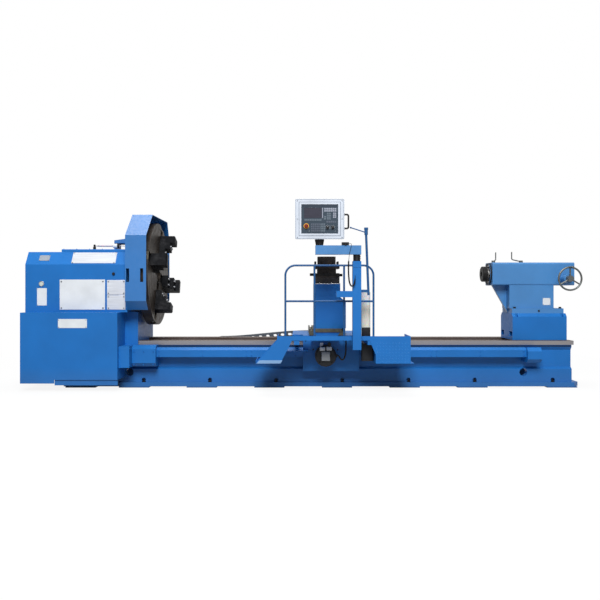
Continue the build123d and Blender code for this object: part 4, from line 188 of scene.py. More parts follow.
class Shader:
    """A material's node tree, with short calls for the nodes that the finishes use."""

    def __init__(self, name: str) -> None:
        """Starts a material with its principled shader and its object coordinates.

        Args:
            name: The material's name.
        """
        self.material = bpy.data.materials.new(name)
        self.material.use_nodes = True
        self.tree = self.material.node_tree
        self.surface = self.tree.nodes["Principled BSDF"]
        self.place = self.node("TexCoord").outputs["Object"]

    def node(self, kind: str, **values: float | Sequence[float]) -> bpy.types.Node:
        """Adds a shader node of a kind, with constants for its inputs."""
        return fill(self.tree.nodes.new("ShaderNode" + kind), **values)

    def link(self, output: Socket, node: bpy.types.Node, name: str | int) -> None:
        """Links an output to a node's input."""
        self.tree.links.new(output, node.inputs[name])

    def join(self, output: Socket, name: str) -> None:
        """Links an output to an input of the principled shader."""
        self.link(output, self.surface, name)

    def mapped(self, scale: Point, centre: Point = ORIGIN) -> Socket:
        """Object coordinates about a centre, stretched.

        Args:
            scale: How often a pattern repeats along each axis.
            centre: The point that becomes the origin.

        Returns:
            The mapped coordinates.
        """
        node = self.node("Mapping", Scale=scale, Location=[-c * s for c, s in zip(centre, scale)])
        self.link(self.place, node, "Vector")
        return node.outputs["Vector"]

    def noise(self, scale: float, detail: float = 3.0, where: Socket | None = None) -> Socket:
        """A noise pattern.

        Args:
            scale: Pattern repeats per metre.
            detail: Octaves of finer pattern.
            where: Coordinates, or the object's own.

        Returns:
            The noise value.
        """
        node = self.node("TexNoise", Scale=scale, Detail=detail)
        self.link(where or self.place, node, "Vector")
        return node.outputs["Fac"]

    def cells(self, scale: float) -> Socket:
        """A pattern of cells.

        Args:
            scale: Cells per metre.

        Returns:
            The distance from each cell's middle.
        """
        node = self.node("TexVoronoi", Scale=scale)
        self.link(self.place, node, "Vector")
        return node.outputs["Distance"]

    def reach(self, scale: Point, centre: Point) -> Socket:
        """The distance from a centre.

        Args:
            scale: How much each axis counts.
            centre: Where the distance is nothing.

        Returns:
            The distance.
        """
        node = self.node("VectorMath")
        node.operation = "LENGTH"
        self.link(self.mapped(scale, centre), node, 0)
        return node.outputs["Value"]

    def rings(self, centre: Point, scale: float) -> Socket:
        """Uneven rings about a centre's X axis, as a lathe tool leaves them.

        Args:
            centre: A point on the axis.
            scale: Rings per metre.

        Returns:
            The rings' value.
        """
        node = self.node("TexNoise")
        node.noise_dimensions = "1D"
        fill(node, Scale=scale, Detail=2.0)
        self.link(self.reach((0.0, 1.0, 1.0), centre), node, "W")
        return node.outputs["Fac"]

    def along(self, axis: str) -> Socket:
        """The place along an axis.

        Args:
            axis: X, Y or Z; Z is the height above the floor.

        Returns:
            The place in metres.
        """
        node = self.node("SeparateXYZ")
        self.link(self.place, node, "Vector")
        return node.outputs[axis]

    def ramp(self, value: Socket, *stops: tuple[float, Rgba]) -> Socket:
        """Colours along a value.

        Args:
            value: What drives the ramp.
            stops: Two places from 0 to 1 with their colours.

        Returns:
            The colour.
        """
        node = self.node("ValToRGB")
        for stop, (place, color) in zip(node.color_ramp.elements, stops):
            stop.position = place
            stop.color = color
        self.link(value, node, "Fac")
        return node.outputs["Color"]

    def span(self, value: Socket, given: Span, made: Span) -> Socket:
        """A value carried from one range to another and held inside it.

        Args:
            value: What is carried over.
            given: Start and end of its own range.
            made: Results at the start and at the end.

        Returns:
            The new value.
        """
        node = self.node("MapRange", From_Min=given[0], From_Max=given[1], To_Min=made[0], To_Max=made[1])
        self.link(value, node, "Value")
        return node.outputs["Result"]

    def rough(self, value: Socket, made: Span, given: Span = NOISE_SPAN) -> None:
        """Lets the roughness follow a value."""
        self.join(self.span(value, given, made), "Roughness")

    def blend(self, share: Socket, under: Socket, over: Rgba) -> Socket:
        """Lays one colour over another by a share.

        Args:
            share: How much of the upper colour shows.
            under: The colour below.
            over: The colour above.

        Returns:
            The mixed colour.
        """
        node = self.node("Mix")
        node.data_type = "RGBA"
        self.link(share, node, "Factor")
        self.link(under, node, "A")
        fill(node, B=over)
        return node.outputs["Result"]

    def bump(self, value: Socket, strength: float, distance: float) -> None:
        """Raises the surface by a value.

        Args:
            value: The height's pattern.
            strength: How much of the relief shows.
            distance: Height of the relief in metres.
        """
        node = self.node("Bump", Strength=strength, Distance=distance)
        self.link(value, node, "Height")
        self.join(node.outputs["Normal"], "Normal")


@dataclass(frozen=True)
class Finish:
    """A surface finish: its name, its slot in the record and its main colour."""

    name: str
    slot: Slot
    color: Rgba

    def material(self) -> bpy.types.Material:
        """The finish's material, made on first use under a name that no solid's own material has.

        Returns:
            The material.
        """
        name = f"finish_{self.name}"
        made = bpy.data.materials.get(name)
        if made is None:
            shader = Shader(name)
            self.grow(shader)
            made = shader.material
        return made

    def tones(self, shader: Shader, value: Socket, tones: Tones) -> Socket:
        """The main colour's darker and lighter tones, each given by its place and factor, along a value."""
        return shader.ramp(value, *((place, toned(self.color, factor)) for place, factor in tones))

    def grow(self, shader: Shader) -> None:
        """Adds the finish's nodes; each kind of finish has its own."""
        raise NotImplementedError


@dataclass(frozen=True)
class Enamel(Finish):
    """Sprayed machine paint with a soft mottle, orange peel and some dust near the floor."""

    roughness: float = 0.4
    haze_scale: float = 31.0
    haze: Span = (-0.07, 0.1)
    coat: float = 0.05
    coat_roughness: float = 0.2
    gloss: float = 0.3
    mottle_scale: float = 2.3
    mottle: Tones = ((0.3, 0.9), (0.7, 1.08))
    peel_scale: float = 240.0
    peel: float = 0.05
    peel_height: float = 0.001
    dust: Rgba = srgb(92, 104, 116)
    dust_share: float = 0.22
    dust_top: float = 0.28

    def grow(self, shader: Shader) -> None:
        """Adds mottle, dust and orange peel.

        Args:
            shader: The material's tree.
        """
        mottle = self.tones(shader, shader.noise(self.mottle_scale), self.mottle)
        dust = shader.span(shader.along("Z"), (0.0, self.dust_top), (self.dust_share, 0.0))
        shader.join(shader.blend(dust, mottle, self.dust), "Base Color")
        shader.rough(shader.noise(self.haze_scale, detail=5.0), spread(self.roughness, self.haze))
        fill(shader.surface, Coat_Weight=self.coat, Coat_Roughness=self.coat_roughness,
             Specular_IOR_Level=self.gloss)
        shader.bump(shader.noise(self.peel_scale, detail=2.0), self.peel, self.peel_height)


@dataclass(frozen=True)
class GroundSteel(Finish):
    """Ground or drawn steel: fine scratches along one axis, brown oil stains, and a lighter front that is
    partly wiped steel and partly painted light.
    """

    stain: Rgba = srgb(96, 78, 62)
    stained: float = 0.5
    stain_scale: float = 3.1
    stain_stretch: Point = (0.6, 2.0, 2.0)
    stain_span: Span = (0.42, 0.66)
    roughness: float = 0.34
    haze: Span = (-0.08, 0.12)
    grain: Point = (0.8, 70.0, 70.0)
    grain_scale: float = 4.0
    grain_tones: Tones = ((0.3, 0.78), (0.7, 1.15))
    grain_span: Span = (0.25, 0.75)
    scratch: float = 0.12
    scratch_depth: float = 0.0004
    # Lighter steel in front of a line across Y: partly wiped steel, partly painted light on the lit front
    # face of the front way.
    wiped_and_lit_color: Rgba = srgb(154, 152, 155)
    wiped_and_lit_front: float = -100.0
    wiped_and_lit_edge: float = 0.006
    wiped_and_lit_share: float = 0.8
    metallic: float = 0.85

    def grow(self, shader: Shader) -> None:
        """Adds scratches and stains, and lightens the steel in front of a line: partly wiped steel, partly
        painted light on the lit front face.

        Args:
            shader: The material's tree.
        """
        scratch = shader.noise(self.grain_scale, detail=6.0, where=shader.mapped(self.grain))
        steel = self.tones(shader, scratch, self.grain_tones)
        patches = shader.noise(self.stain_scale, detail=4.0, where=shader.mapped(self.stain_stretch))
        stain = shader.span(patches, self.stain_span, (0.0, self.stained))
        # Painted light: the steel in front of the line turns lighter, partly as wiped steel.
        line = (self.wiped_and_lit_front, self.wiped_and_lit_front + self.wiped_and_lit_edge)
        wiped_and_lit_mask = shader.span(shader.along("Y"), line, (self.wiped_and_lit_share, 0.0))
        shader.join(shader.blend(wiped_and_lit_mask, shader.blend(stain, steel, self.stain), self.wiped_and_lit_color), "Base Color")
        shader.rough(scratch, spread(self.roughness, self.haze), self.grain_span)
        fill(shader.surface, Metallic=self.metallic)
        shader.bump(scratch, self.scratch, self.scratch_depth)


@dataclass(frozen=True)
class TurnedIron(Finish):
    """Machined iron with tool rings about the spindle axis and a film of oil."""

    centre: Point = ORIGIN
    ring_scale: float = 85.0
    ring_tones: Tones = ((0.32, 0.72), (0.68, 1.22))
    ring: float = 0.25
    ring_depth: float = 0.0006
    oil: Rgba = srgb(66, 52, 42)
    oil_scale: float = 5.0
    oil_span: Span = (0.4, 0.7)
    oil_share: float = 0.7
    haze_scale: float = 17.0
    haze: Span = (0.36, 0.55)
    metallic: float = 0.6

    def grow(self, shader: Shader) -> None:
        """Adds the tool rings and the oil.

        Args:
            shader: The material's tree.
        """
        rings = shader.rings(self.centre, self.ring_scale)
        oil = shader.span(shader.noise(self.oil_scale, detail=5.0), self.oil_span, (0.0, self.oil_share))
        shader.join(shader.blend(oil, self.tones(shader, rings, self.ring_tones), self.oil), "Base Color")
        shader.rough(shader.noise(self.haze_scale, detail=4.0), self.haze)
        fill(shader.surface, Metallic=self.metallic)
        shader.bump(rings, self.ring, self.ring_depth)


@dataclass(frozen=True)
class BlackOxide(Finish):
    """Blackened tool steel that rubs brighter in patches."""

    worn: Rgba = srgb(88, 86, 84)
    wear: float = 0.35
    wear_scale: float = 9.0
    wear_span: Span = (0.5, 0.72)
    tone_scale: float = 26.0
    tone: Tones = ((0.3, 0.75), (0.7, 1.3))
    haze_scale: float = 40.0
    haze: Span = (0.38, 0.58)
    metallic: float = 0.55
    gloss: float = 0.25
    tooth_scale: float = 320.0
    tooth: float = 0.06
    tooth_depth: float = 0.0005

    def grow(self, shader: Shader) -> None:
        """Adds the rubbed patches and a fine tooth.

        Args:
            shader: The material's tree.
        """
        patch = shader.span(shader.noise(self.wear_scale, detail=6.0), self.wear_span, (0.0, self.wear))
        tone = self.tones(shader, shader.noise(self.tone_scale), self.tone)
        shader.join(shader.blend(patch, tone, self.worn), "Base Color")
        shader.rough(shader.noise(self.haze_scale, detail=4.0), self.haze)
        fill(shader.surface, Metallic=self.metallic, Specular_IOR_Level=self.gloss)
        shader.bump(shader.noise(self.tooth_scale), self.tooth, self.tooth_depth)


@dataclass(frozen=True)
class ZincPlate(Finish):
    """Bright zinc with a faint spangle."""

    roughness: float = 0.32
    haze: Span = (-0.06, 0.12)
    spangle_scale: float = 55.0
    spangle: Tones = ((0.1, 0.84), (0.8, 1.12))
    spangle_span: Span = (0.0, 0.8)
    metallic: float = 0.9
    tooth_scale: float = 90.0
    tooth: float = 0.05
    tooth_depth: float = 0.0005

    def grow(self, shader: Shader) -> None:
        """Adds the spangle.

        Args:
            shader: The material's tree.
        """
        cells = shader.cells(self.spangle_scale)
        shader.join(self.tones(shader, cells, self.spangle), "Base Color")
        shader.rough(cells, spread(self.roughness, self.haze), self.spangle_span)
        fill(shader.surface, Metallic=self.metallic)
        shader.bump(shader.noise(self.tooth_scale), self.tooth, self.tooth_depth)


@dataclass(frozen=True)
class Powder(Finish):
    """Powder coat or moulded plastic with a fine even grain."""

    roughness: float = 0.45
    haze_scale: float = 23.0
    haze: Span = (-0.06, 0.08)
    tone_scale: float = 6.0
    tone: Tones = ((0.3, 0.92), (0.7, 1.06))
    gloss: float = 0.25
    grain: float = 420.0
    depth: float = 0.12
    grain_height: float = 0.0005

    def grow(self, shader: Shader) -> None:
        """Adds the grain and a slight tone.

        Args:
            shader: The material's tree.
        """
        shader.join(self.tones(shader, shader.noise(self.tone_scale, detail=4.0), self.tone), "Base Color")
        shader.rough(shader.noise(self.haze_scale), spread(self.roughness, self.haze))
        fill(shader.surface, Specular_IOR_Level=self.gloss)
        shader.bump(shader.noise(self.grain, detail=2.0), self.depth, self.grain_height)


@dataclass(frozen=True)
class Glass(Finish):
    """Dark display glass with a faint stripe of lines behind it."""

    lines: float = 160.0
    line_scale: float = 3.0
    line_tones: Tones = ((0.4, 0.9), (0.62, 1.1))
    haze_scale: float = 12.0
    haze: Span = (0.16, 0.24)
    coat: float = 0.1
    coat_roughness: float = 0.05
    gloss: float = 0.3

    def grow(self, shader: Shader) -> None:
        """Adds the lines and a clear gloss.

        Args:
            shader: The material's tree.
        """
        stretched = shader.mapped((2.0, 1.0, self.lines / self.line_scale))
        band = shader.noise(self.line_scale, detail=1.0, where=stretched)
        shader.join(self.tones(shader, band, self.line_tones), "Base Color")
        shader.rough(shader.noise(self.haze_scale), self.haze)
        fill(shader.surface, Coat_Weight=self.coat, Coat_Roughness=self.coat_roughness,
             Specular_IOR_Level=self.gloss)


@dataclass(frozen=True)
class Milky(Finish):
    """Translucent tank plastic, tinted by the oil inside up to a level."""

    oil: Rgba = srgb(206, 190, 140)
    oil_share: float = 0.4
    level: float = 1.0
    level_edge: float = 0.006
    tone_scale: float = 9.0
    tone: Tones = ((0.3, 0.95), (0.7, 1.0))
    haze_scale: float = 30.0
    haze: Span = (0.34, 0.46)
    scatter: float = 0.25
    scatter_depth: float = 0.02
    grain: float = 150.0
    depth: float = 0.04
    grain_height: float = 0.0005

    def grow(self, shader: Shader) -> None:
        """Adds the oil's tint below its level and a soft scatter.

        Args:
            shader: The material's tree.
        """
        tone = self.tones(shader, shader.noise(self.tone_scale), self.tone)
        edge = spread(self.level, (-self.level_edge, self.level_edge))
        filled = shader.span(shader.along("Z"), edge, (self.oil_share, 0.0))
        shader.join(shader.blend(filled, tone, self.oil), "Base Color")
        shader.rough(shader.noise(self.haze_scale), self.haze)
        fill(shader.surface, Subsurface_Weight=self.scatter, Subsurface_Scale=self.scatter_depth)
        shader.bump(shader.noise(self.grain), self.depth, self.grain_height)


PAINT = Enamel("blue_enamel", Slot.PAINT, srgb(25, 108, 184))
PAINT_GLOSS = Enamel("blue_enamel_gloss", Slot.PAINT, srgb(30, 106, 174), coat=0.15, gloss=0.7)
# A paler copy of the blue for the pendant arm and the tailstock body: painted sheen of light reflected on
# their paint.
PAINT_SHEEN = Enamel("blue_enamel_painted_sheen", Slot.PAINT, srgb(58, 124, 184), coat=0.15, gloss=0.7)
# A darker copy of the blue for the thin rails and the lamp's post and arm: painted shade.
PAINT_RAIL_SHADED = Enamel("blue_enamel_rail_painted_shade", Slot.PAINT, srgb(30, 82, 134), roughness=0.46)
# Dark navy for a thin strip on the bed under the front way: painted shade of the way's overhang.
PAINT_SHADE_STRIP = Enamel("blue_enamel_painted_shade_strip", Slot.PAINT, srgb(14, 46, 84), roughness=0.5, gloss=0.2)
# A darker copy of the blue for the levelling pads under the bed: painted shade.
PAINT_SHADED_PADS = Enamel("blue_enamel_painted_shade_pads", Slot.PAINT, srgb(22, 92, 160), roughness=0.5)
# A pale copy of the blue for the hanging step's lip: painted highlight.
LIP_HIGHLIGHT = Enamel("blue_enamel_painted_highlight", Slot.PAINT, srgb(128, 166, 208), roughness=0.46)
TREAD = Enamel("blue_tread_plate", Slot.PAINT, srgb(34, 116, 190), roughness=0.36, peel=0.09)
# The front way's front face is painted lighter: partly wiped steel, partly painted light.
WAY = GroundSteel("ground_way", Slot.GROUND, srgb(112, 98, 91), stain=srgb(84, 64, 54), stained=0.6,
                  roughness=0.4, wiped_and_lit_front=DATUM.y - FRONT_WAY_EDGE)
BRIGHT = GroundSteel("bright_steel", Slot.GROUND, srgb(196, 196, 196), stained=0.12, roughness=0.26,
                     grain=(120.0, 2.0, 2.0))
WHEEL = GroundSteel("wheel_steel", Slot.GROUND, srgb(104, 110, 110), stained=0.25, roughness=0.4,
                    grain=(30.0, 30.0, 30.0))
COVER_STEEL = GroundSteel("cover_steel", Slot.GROUND, srgb(214, 218, 226), stained=0.1, roughness=0.46,
                          metallic=0.5)
PLATE = GroundSteel("control_plate", Slot.SILVER, srgb(204, 208, 214), stained=0.06, roughness=0.5,
                    metallic=0.35)
IRON = TurnedIron("turned_iron", Slot.IRON, srgb(62, 56, 50), centre=tuple(DATUM.at((0.0, 0.0, AXIS_HEIGHT))))
CAST = BlackOxide("machined_cast", Slot.IRON, srgb(84, 80, 66), worn=srgb(122, 116, 100), wear=0.5,
                  metallic=0.4)
TURRET_BASE = BlackOxide("turret_base_steel", Slot.OXIDE, srgb(48, 46, 48), worn=srgb(96, 90, 84),
                         metallic=0.3)
TURRET = BlackOxide("turret_steel", Slot.OXIDE, srgb(42, 38, 38), worn=srgb(86, 72, 60), wear=0.4,
                    metallic=0.3)
OXIDE = BlackOxide("black_oxide", Slot.OXIDE, srgb(22, 21, 22), worn=srgb(66, 64, 62), wear=0.3, metallic=0.3)
JAW = BlackOxide("jaw_steel", Slot.OXIDE, srgb(15, 16, 19), worn=srgb(58, 58, 60), wear=0.4, metallic=0.3,
                 gloss=0.06)
ZINC = ZincPlate("zinc_plate", Slot.ZINC, srgb(196, 200, 204))
CHAIN = ZincPlate("chain_steel", Slot.ZINC, srgb(92, 98, 106), roughness=0.46)
SCREW = ZincPlate("screw_steel", Slot.ZINC, srgb(150, 152, 156), roughness=0.38)
MOTOR = Powder("motor_black", Slot.MOTOR, srgb(30, 31, 34), roughness=0.5, grain=180.0)
MOTOR_CAP = Powder("motor_cap_grey", Slot.MOTOR, srgb(150, 154, 158), roughness=0.4)
SILVER = Powder("panel_silver", Slot.SILVER, srgb(206, 214, 226), roughness=0.4, gloss=0.15)
# A darker grey for flat rings round the bezel: painted shade of grooves.
GROOVE_SHADE = Powder("panel_painted_groove_shade", Slot.SILVER, srgb(140, 148, 162), roughness=0.5)
WHITE = Powder("white_plate", Slot.SILVER, srgb(222, 226, 230), roughness=0.38)
GREY_PLATE = Powder("grey_plate", Slot.SILVER, srgb(150, 158, 168), roughness=0.4)
SLATE = Powder("keypad_slate", Slot.SLATE, srgb(50, 64, 77), roughness=0.5)
BAND = Powder("fascia_band", Slot.SLATE, srgb(42, 54, 68), roughness=0.45)
KEY_LIGHT = Powder("light_key", Slot.SLATE, srgb(148, 154, 168), roughness=0.42)
KEY_MIDDLE = Powder("middle_key", Slot.SLATE, srgb(98, 110, 121), roughness=0.42)
KEY_DARK = Powder("dark_key", Slot.SLATE, srgb(84, 92, 106), roughness=0.42)
OIL_GLASS = Glass("oil_glass", Slot.TANK, srgb(196, 204, 196), lines=20.0)
SCREEN = Glass("display_glass", Slot.SLATE, srgb(58, 58, 70))
MILKY_CLEAR = Milky("clear_hose", Slot.TANK, srgb(198, 190, 200), oil=srgb(176, 150, 158), level=1.672)
MILKY = Milky("tank_white", Slot.TANK, srgb(238, 240, 238), level=0.98)
PLASTIC = Powder("black_plastic", Slot.PLASTIC, srgb(26, 26, 28), roughness=0.48)
RUBBER = Powder("black_rubber", Slot.PLASTIC, srgb(22, 22, 23), roughness=0.7, grain=260.0, depth=0.2)
YELLOW = Powder("stop_yellow", Slot.PLASTIC, srgb(226, 168, 60), roughness=0.4)
RED = Powder("stop_red", Slot.RED, srgb(116, 32, 24), roughness=0.35)
CORD = Powder("cord_black", Slot.CORD, srgb(20, 20, 22), roughness=0.55, grain=300.0)

NODE_FINISHES: dict[Finish, tuple[str, ...]] = {
    PAINT: (
        "bed_casting", "headstock_casting", "headstock_cover", "belt_guard", "lower_cabinet", "screw_cover",
        "screw_supports", "saddle", "apron", "platform_deck", "deck_steps", "pendant_column", "tool_column",
        "tailstock_base",
    ),
    PAINT_GLOSS: ("chuck_guard",),
    # Painted shade: a darker blue on the handrail and the lamp's post and arm.
    PAINT_RAIL_SHADED: ("deck_handrail", "lamp_post", "lamp_arm"),
    # Painted sheen: a paler blue on the pendant arm and the tailstock body.
    PAINT_SHEEN: ("pendant_arm", "tailstock_body"),
    # Painted shade: a darker blue on the levelling pads.
    PAINT_SHADED_PADS: ("levelling_pads",),
    WAY: ("guideways",),
    BRIGHT: ("quill", "spindle", "ball_screw_z", "ball_screw_x", "oil_pipe", "spindle_bearings"),
    WHEEL: ("handwheel", "clamp_lever_left", "clamp_lever_right"),
    IRON: ("faceplate",),
    CAST: ("cross_slide", "spindle_pulley", "motor_pulley"),
    JAW: ("chuck_jaw_1", "chuck_jaw_2", "chuck_jaw_3", "chuck_jaw_4"),
    OXIDE: ("live_nose", "turret_tools"),
    TURRET_BASE: ("turret_base",),
    TURRET: ("turret_head",),
    ZINC: ("cable_tray",),
    CHAIN: ("chain_lower", "chain_upper"),
    MOTOR: ("x_servo", "z_servo", "main_motor", "lube_pump"),
    SILVER: ("panel_housing",),
    SLATE: ("panel_fascia",),
    MILKY: ("lube_tank",),
    PLASTIC: ("feed_knob", "speed_knob", "pulse_unit"),
    RUBBER: ("drive_belts",),
    RED: ("emergency_button",),
    CORD: ("servo_cable", "pulse_cord"),
}

# The least angle between two faces whose edge is rounded or shaded as sharp.
SHARP_ANGLE = math.radians(20)
BAR_SIDES = 24
ELBOW_STEPS = 8
MERGE_REACH = 1e-6
# Proportions of a screw head, as shares of its radius, and of a socket, as a share of the head's height.
WASHER_THICK = 0.25
WASHER_REACH = 1.5
WASHER_SIDES = 20
SOCKET_TALL = 1.1
SOCKET_RIM = 0.4
SOCKET_DEPTH = 0.5
FLAT_TALL = 0.85
FLAT_CHAMFER = 0.12
FLAT_CROWN = 0.1
# Half sizes of a tread lozenge, and how far it is turned out of line.
LOZENGE: Point = (0.0135, 0.0046, 0.0016)
LOZENGE_TURN = math.radians(45)


def facing(axis: Sequence[float], at: Sequence[float]) -> Matrix:
    """The move that turns +Z to an axis and takes the origin to a point."""
    turn = Vector(FACING_UP).rotation_difference(Vector(axis))
    return Matrix.Translation(Vector(at)) @ turn.to_matrix().to_4x4()


def grid(xs: Sequence[float], ys: Sequence[float], zs: Sequence[float]) -> tuple[Point, ...]:
    """Every point of a grid, with Z running fastest."""
    return tuple((x, y, z) for x in xs for y in ys for z in zs)


def about(middle: float, *offsets: float) -> tuple[float, ...]:
    """The places at some offsets from a middle."""
    return tuple(middle + offset for offset in offsets)


def placed(name: str, data: bpy.types.ID) -> bpy.types.Object:
    """Makes an object of some data and puts it into the scene.

    Args:
        name: The object's name.
        data: Its mesh, curve, lamp or camera.

    Returns:
        The new object.
    """
    item = bpy.data.objects.new(name, data)
    bpy.context.scene.collection.objects.link(item)
    return item


def soften(shape: bmesh.types.BMesh, edge: float, steps: int = 2) -> None:
    """Rounds a shape's sharp edges.

    Args:
        shape: The shape to work on.
        edge: Width of the rounding; nothing happens at 0.
        steps: Facets across it.
    """
    if edge > 0.0:
        sharp = [e for e in shape.edges if len(e.link_faces) == 2 and e.calc_face_angle() > SHARP_ANGLE]
        bmesh.ops.bevel(shape, geom=sharp, offset=edge, offset_type="OFFSET", segments=steps, profile=0.5,
                        affect="EDGES", material=-1, clamp_overlap=True)


def draw_out(shape: bmesh.types.BMesh, along: Sequence[float], edge: float) -> None:
    """Draws a flat shape out and softens its edges.

    Args:
        shape: The shape to work on.
        along: How far it is drawn out.
        edge: Width of its softened edges.
    """
    far = bmesh.ops.extrude_face_region(shape, geom=shape.faces[:], use_keep_orig=True)
    moved = [item for item in far["geom"] if isinstance(item, bmesh.types.BMVert)]
    bmesh.ops.translate(shape, vec=along, verts=moved)
    bmesh.ops.recalc_face_normals(shape, faces=shape.faces)
    soften(shape, edge)


@dataclass(frozen=True)
class Rim:
    """A flat frame: its outer width and height, its margin, its thickness and its softened edges."""

    size: Span
    margin: float
    thick: float
    edge: float


class Stock:
    """Shapes joined into one mesh, in metres from the machine's datum."""

    def __init__(self) -> None:
        """Starts with an empty mesh."""
        self.mesh = bmesh.new()

    def take(self, shape: bmesh.types.BMesh, moves: Sequence[Matrix] = (Matrix.Identity(4),)) -> "Stock":
        """Adds copies of a shape and frees it.

        Args:
            shape: The shape to add.
            moves: Where each copy goes.

        Returns:
            This stock.
        """
        holder = bpy.data.meshes.new("holder")
        for move in moves:
            copy = shape.copy()
            bmesh.ops.transform(copy, matrix=move, verts=copy.verts)
            copy.to_mesh(holder)
            copy.free()
            self.mesh.from_mesh(holder)
        bpy.data.meshes.remove(holder)
        shape.free()
        return self

    def block(self, low: Point, high: Point, edge: float = 0.0, steps: int = 2) -> "Stock":
        """Adds a box with softened edges.

        Args:
            low: Its lowest corner.
            high: Its highest corner.
            edge: Width of the softened edges.
            steps: Facets across each softened edge.

        Returns:
            This stock.
        """
        shape = bmesh.new()
        bmesh.ops.create_cube(shape, size=1.0)
        bmesh.ops.scale(shape, vec=Vector(high) - Vector(low), verts=shape.verts)
        bmesh.ops.translate(shape, vec=(Vector(high) + Vector(low)) / 2, verts=shape.verts)
        soften(shape, edge, steps)
        return self.take(shape)

    def bar(self, start: Sequence[float], end: Sequence[float], radius: float, tip: float | None = None,
            sides: int = BAR_SIDES) -> "Stock":
        """Adds a round or many-sided bar or cone.

        Args:
            start: Middle of its first end.
            end: Middle of its other end.
            radius: Radius at the start.
            tip: Radius at the other end, or the same.
            sides: How many sides it has.

        Returns:
            This stock.
        """
        shape = bmesh.new()
        along = Vector(end) - Vector(start)
        bmesh.ops.create_cone(shape, cap_ends=True, segments=sides, radius1=radius,
                              radius2=radius if tip is None else tip, depth=along.length)
        return self.take(shape, [facing(along, (Vector(start) + Vector(end)) / 2)])

    def turned(self, at: Point, axis: Point, profile: Profile, sides: int = 32) -> "Stock":
        """Adds a turned shape from a profile spun about an axis.

        Args:
            at: Where the axis starts.
            axis: Its direction.
            profile: Radius and height of each corner, from end to end.
            sides: Facets round the axis.

        Returns:
            This stock.
        """
        shape = bmesh.new()
        corners = [shape.verts.new((radius, 0.0, height)) for radius, height in profile]
        edges = [shape.edges.new(pair) for pair in zip(corners, corners[1:])]
        bmesh.ops.spin(shape, geom=corners + edges, cent=ORIGIN, axis=FACING_UP, angle=math.tau, steps=sides,
                       use_merge=True)
        bmesh.ops.remove_doubles(shape, verts=shape.verts, dist=MERGE_REACH)
        bmesh.ops.recalc_face_normals(shape, faces=shape.faces)
        return self.take(shape, [facing(axis, at)])

    def slab(self, outline: Sequence[Point], along: Sequence[float], edge: float) -> "Stock":
        """Adds a flat outline drawn out along a direction.

        Args:
            outline: Its corners in order.
            along: How far it is drawn out.
            edge: Width of its softened edges.

        Returns:
            This stock.
        """
        shape = bmesh.new()
        shape.faces.new([shape.verts.new(corner) for corner in outline])
        draw_out(shape, along, edge)
        return self.take(shape)

    def screw(self, at: Point, axis: Sequence[float], radius: float, head: Head = Head.SOCKET,
              washer: bool = False) -> "Stock":
        """Adds a screw head, with its socket or flats.

        Args:
            at: Where its axis meets the surface.
            axis: The way that it faces.
            radius: Radius of the head.
            head: Its kind.
            washer: Whether a washer lies under it.

        Returns:
            This stock.
        """
        out = Vector(axis).normalized()
        foot = Vector(at)
        if washer:
            seat = foot + out * radius * WASHER_THICK
            self.bar(foot, seat, radius * WASHER_REACH, sides=WASHER_SIDES)
            foot = seat
        tall = radius * (SOCKET_TALL if head is Head.SOCKET else FLAT_TALL)
        shape = bmesh.new()
        bmesh.ops.create_cone(shape, cap_ends=True, segments=head.value, radius1=radius, radius2=radius,
                              depth=tall)
        top = max(shape.faces, key=lambda face: face.calc_center_median().z)
        if head is Head.SOCKET:
            bmesh.ops.inset_individual(shape, faces=[top], thickness=radius * SOCKET_RIM)
            bmesh.ops.translate(shape, vec=(0.0, 0.0, -tall * SOCKET_DEPTH), verts=top.verts)
        else:
            bmesh.ops.inset_individual(shape, faces=[top], thickness=radius * FLAT_CHAMFER,
                                       depth=radius * FLAT_CROWN)
        return self.take(shape, [facing(out, foot + out * tall / 2)])

    def screws(self, places: Sequence[Point], axis: Sequence[float], radius: float, head: Head = Head.SOCKET,
               washer: bool = False) -> "Stock":
        """Adds the same screw at several places.

        Args:
            places: Where each screw's axis meets the surface.
            axis: The way that they face.
            radius: Radius of the heads.
            head: Their kind.
            washer: Whether a washer lies under each.

        Returns:
            This stock.
        """
        for at in places:
            self.screw(at, axis, radius, head, washer)
        return self

    def elbow(self, centre: Point, start: Point, axis: Point, radius: float) -> "Stock":
        """Adds a quarter bend of round bar.

        Args:
            centre: Middle of the bend.
            start: Middle of its first end.
            axis: What it turns about, by the right hand.
            radius: Radius of the bar.

        Returns:
            This stock.
        """
        shape = bmesh.new()
        bmesh.ops.create_circle(shape, cap_ends=False, segments=BAR_SIDES, radius=radius)
        along = Vector(axis).cross(Vector(start) - Vector(centre))
        bmesh.ops.transform(shape, matrix=facing(along, start), verts=shape.verts)
        bmesh.ops.spin(shape, geom=shape.verts[:] + shape.edges[:], cent=centre, axis=axis, angle=math.pi / 2,
                       steps=ELBOW_STEPS)
        bmesh.ops.holes_fill(shape, edges=[edge for edge in shape.edges if edge.is_boundary])
        bmesh.ops.recalc_face_normals(shape, faces=shape.faces)
        return self.take(shape)

    def window(self, rim: Rim, at: Matrix) -> "Stock":
        """Adds a flat frame round an opening.

        Args:
            rim: The frame's sizes.
            at: Where its back goes, with its face along +Z.

        Returns:
            This stock.
        """
        shape = bmesh.new()
        bmesh.ops.create_grid(shape, x_segments=1, y_segments=1, size=0.5)
        bmesh.ops.scale(shape, vec=(*rim.size, 1.0), verts=shape.verts)
        middle = shape.faces[:]
        bmesh.ops.inset_region(shape, faces=middle, thickness=rim.margin, use_even_offset=True,
                               use_boundary=True)
        bmesh.ops.delete(shape, geom=middle, context="FACES_ONLY")
        draw_out(shape, (0.0, 0.0, rim.thick), rim.edge)
        return self.take(shape, [at])

